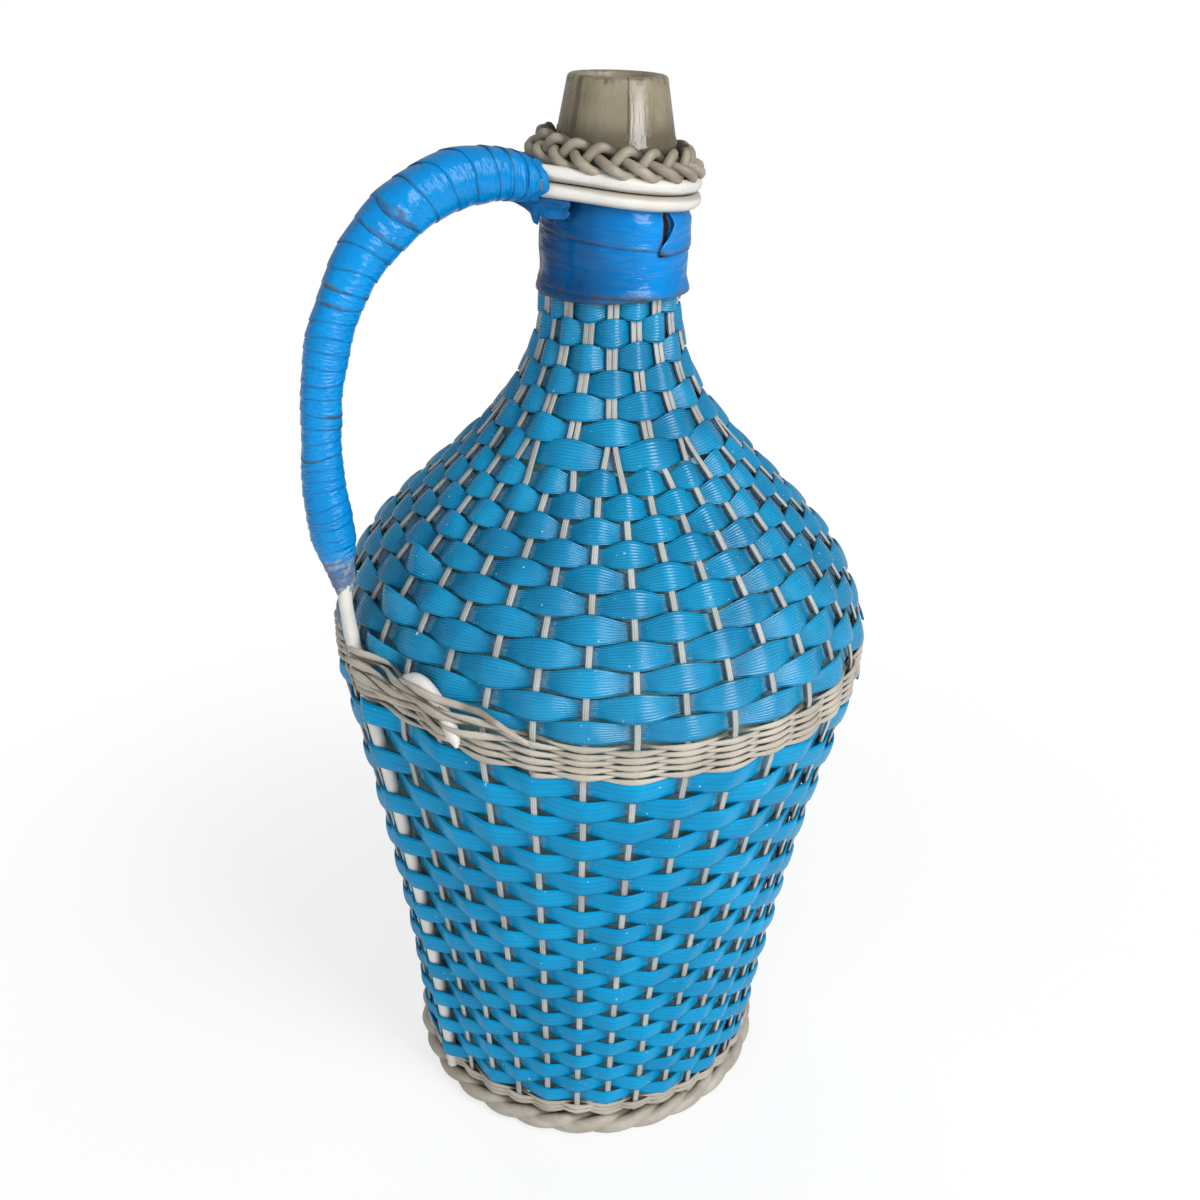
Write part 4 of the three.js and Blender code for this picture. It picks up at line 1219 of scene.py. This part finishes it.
under_rods = smooth((level - UNDER_RODS_Z) / 3)
over_strips = 1 - smooth((z - OVER_STRIPS_Z) / 6)
layer = LAYER * (NECK_TAPE_TURNS - turns)
lump = ripple(31, [z / 6, np.cos(angle) * 1.6, np.sin(angle) * 1.6])
pucker = np.abs(ripple(32, [z / 3.2, np.cos(angle) * 3, np.sin(angle) * 3], 7))
slack = 0.35 * lump + 0.3 * (0.4 - pucker)
radius = np.interp(z, jacket_z, jacket_r) + 1.0 + STRIP_ROOM * over_strips
radius += layer * (1 - 0.85 * under_rods)
radius += slack * (1 - 0.8 * under_rods) + PEEL_LIFT * start_edge * (1 - across ** 2)
radius += SIDE_BULGE * np.clip(np.cos(angle), 0, 1) ** 2
turn = np.degrees(angle) % 360 - 360
peel_edge = PEEL_TURN + PEEL_ROUND * (1 - ((z - PEEL_Z) / NECK_TAPE_HALF) ** 2)
slit = np.exp(-((turn - peel_edge + SLIT_SHIFT) / SLIT_WIDE) ** 4) * (turns > 0.5)
slit = slit * np.exp(-((z - SLIT_Z) / SLIT_HIGH) ** 4)
lapped = np.abs(across)
edge = np.maximum(np.clip((lapped - 0.9) / 0.1, 0, 1), 0.75 * np.clip((lapped - 0.5) / 0.4, 0, 1))
# Painted shadow in the slit under the peeled end, carried by the edge value.
edge = edge + SLIT_SHADOW * slit + 0.5 * start_edge
fade = np.exp(-((turn - STAIN_TURN) / STAIN_WIDE) ** 2) * np.exp(-((z - STAIN_Z) / STAIN_HIGH) ** 2)
# Painted shade: the tape is darker on the left, away from the lamp, and lighter on the right.
clean = smooth((np.cos(angle) + 0.55) / 1.1)
bend(mesh, around(radius, angle, z), turns * 60, across * 7, edge=edge, fade=fade, clean=clean)
keep("neck_tape_visual", mesh, ["neck_tape"], neck_vinyl, NECK_TAPE_THICKNESS)
print("neck tape:", NECK_TAPE_TURNS, "turns")

# %% [markdown]
# ## The loose end of the tape
# Under the handle a loose end of tape stands off beside the neck. It is a small flat sheet on a straight
# line that would just touch the neck, with a torn lower edge and a few folds.

# %% Loose end of the tape
FLAP_TOP, FLAP_TEAR = 347.2, 1.6
FLAP_FROM, FLAP_TO, FLAP_TOUCH, FLAP_R = -149.0, -119.0, -102.6, 25.9
FLAP_LOW = [(0, 345), (0.2, 343), (0.3, 341.6), (0.35, 338.8), (0.42, 338.2), (0.45, 341), (0.6, 340.3),
            (0.85, 340.2), (1, 341.8)]
mesh, share, across = flat_sheet(60, 14)
turn = FLAP_FROM + share * (FLAP_TO - FLAP_FROM) + FLAP_TEAR * ripple(41, [across * 4]) * share ** 4
low = read_off(FLAP_LOW, share)
z = low + (across + 1) / 2 * (FLAP_TOP - low)
folds = np.abs(ripple(43, [share * 6 + across * 2, across * 3]))
crumple = ripple(42, [share * 9, across * 2.2]) * 0.5 - folds * 0.7
radius = FLAP_R / np.cos(np.radians(turn - FLAP_TOUCH)) + crumple + 0.4
places = around(radius, np.radians(turn), z)
edge = np.clip((np.abs(across) - 0.85) / 0.15, 0, 1) + np.clip((share - 0.95) / 0.05, 0, 1)
bend(mesh, places, share * 20, across * 4, edge=edge, fade=np.zeros(len(z)), clean=0.25 + 0.2 * share)
keep("tape_end_visual", mesh, ["neck_tape"], neck_vinyl, NECK_TAPE_THICKNESS)
print("loose end of tape laid beside the neck")

# %% [markdown]
# ## The braid under the lip
# Three round strands are plaited and laid round the collar like a wreath, facing up and outward.
# In a plait every strand swings across the width once and in and out twice, a third of a period
# after its neighbour, and closed curves follow that directly.

# %% Neck braid
BRAID_PERIODS, BRAID_STRAND_R = 6, 1.6
BRAID_WIDTH, BRAID_DEPTH, BRAID_TILT = 4.0, 1.6, 0.10
BRAID_R, BRAID_Z, BRAID_STRANDS = 23.9, 357.3, 3
FACE_OUT, FACE_UP = 0.77, 0.63
turn = np.linspace(0, TURN, 540, endpoint=False)
for i in range(BRAID_STRANDS):
    phase = BRAID_PERIODS * turn + TURN * i / BRAID_STRANDS
    over = BRAID_WIDTH * np.sin(phase) + 0.15 * ripple(60 + i, [np.cos(turn) * 5, np.sin(turn) * 5])
    deep = BRAID_DEPTH * np.sin(2 * phase)
    r = BRAID_R + FACE_UP * over + FACE_OUT * deep
    z = BRAID_Z - FACE_OUT * over + FACE_UP * deep - BRAID_TILT * r * np.cos(turn)
    node = f"neck_braid_{i + 1}"
    strand = strand_curve(node + "_line", [around(r, turn, z)], BRAID_STRAND_R, closed=True, sides=4)
    keep(node + "_visual", strand, [node], braid_beige)
print("braid strands:", BRAID_STRANDS)

# %% [markdown]
# ## The floor
# The jug stands on a white floor that runs into a white background. Lit plainly, a white floor turns out
# grey, so most of what is seen of it, by the camera or through the glass, is an even white glow. Near the
# jug the glow is weaker, and the soft shadow stays.

# %% Floor
GLOW_NEAR, GLOW_FROM, GLOW_TO = 0.74, 0.1, 0.42
bm = bmesh.new()
bmesh.ops.create_circle(bm, cap_ends=True, radius=4, segments=64)
floor_mesh = mesh_from(bm, "floor")
floor = bpy.data.objects.new("floor", floor_mesh)
scene.collection.objects.link(floor)
floor_finish, shader = new_finish("floor_finish", Roughness=0.9, Specular_IOR_Level=0.0)
shader.inputs["Base Color"].default_value = (0.86, 0.86, 0.86, 1)
by_camera = Wire.node("LightPath", output="Is Camera Ray")
seen = by_camera.math("MAXIMUM", by_camera.beside("Is Transmission Ray"))
glow = GLOW_NEAR + vector_length(place()).step(GLOW_FROM, GLOW_TO) * (1 - GLOW_NEAR)
white = Wire.node("Emission", None, {"Color": (1, 1, 1), "Strength": 1.0})
mix = Wire.node("MixShader", None, {0: seen * glow, 1: Wire(shader.outputs[0]), 2: white})
Wire.feed(Wire.tree.nodes["Material Output"].inputs["Surface"], mix)
floor_mesh.materials.append(floor_finish)
print("floor laid")

# %% [markdown]
# ## The light
# One large soft lamp stands to the right and above, like a window, and gives the strips their highlights.
# Two weaker ones, in front at the left and behind, only fill in and are kept out of reflections. The world is
# white to the camera and through the glass. Shiny surfaces see only a little of it, because there is no
# metal here and a bright world would lay a haze on the plastic.

# %% Light
WORLD_FILL, WORLD_IN_GLOSS = 0.27, 0.1
world = bpy.data.worlds.new("studio")
scene.world = world
world.use_nodes = True
Wire.tree = world.node_tree
by_camera = Wire.node("LightPath", output="Is Camera Ray")
seen = by_camera.math("MAXIMUM", by_camera.beside("Is Transmission Ray"))
seen = seen.math("MAXIMUM", by_camera.beside("Is Glossy Ray") * WORLD_IN_GLOSS)
background = Wire.tree.nodes["Background"]
background.inputs["Color"].default_value = (1, 1, 1, 1)
Wire.feed(background.inputs["Strength"], WORLD_FILL + seen * (1 - WORLD_FILL))


def lamp(name, at, aim, size, watts, shines=True):
    light = bpy.data.lights.new(name, "AREA")
    light.shape = "RECTANGLE"
    light.size, light.size_y = size
    light.energy = watts
    stand = bpy.data.objects.new(name, light)
    stand.location = at
    stand.visible_glossy = shines
    stand.rotation_euler = (Vector(aim) - Vector(at)).to_track_quat("-Z", "Y").to_euler()
    scene.collection.objects.link(stand)


FILL_SIZE = (1.3, 0.9)
lamp("key", at=(0.9, -0.85, 1.05), aim=(0, 0, 0.25), size=(0.65, 1.3), watts=26)
lamp("front", at=(-0.5, -1.25, 0.6), aim=(0, 0, 0.2), size=FILL_SIZE, watts=8.5, shines=False)
lamp("back", at=(-0.5, 1.3, 0.8), aim=(0, 0, 0.2), size=FILL_SIZE, watts=8, shines=False)
scene.view_settings.view_transform = "Standard"

# %% [markdown]
# ## The pieces
# The finished pieces are counted. The finished jug has to stay within the box of the imported model.

# %% Finish
print("pieces:", len(finished))
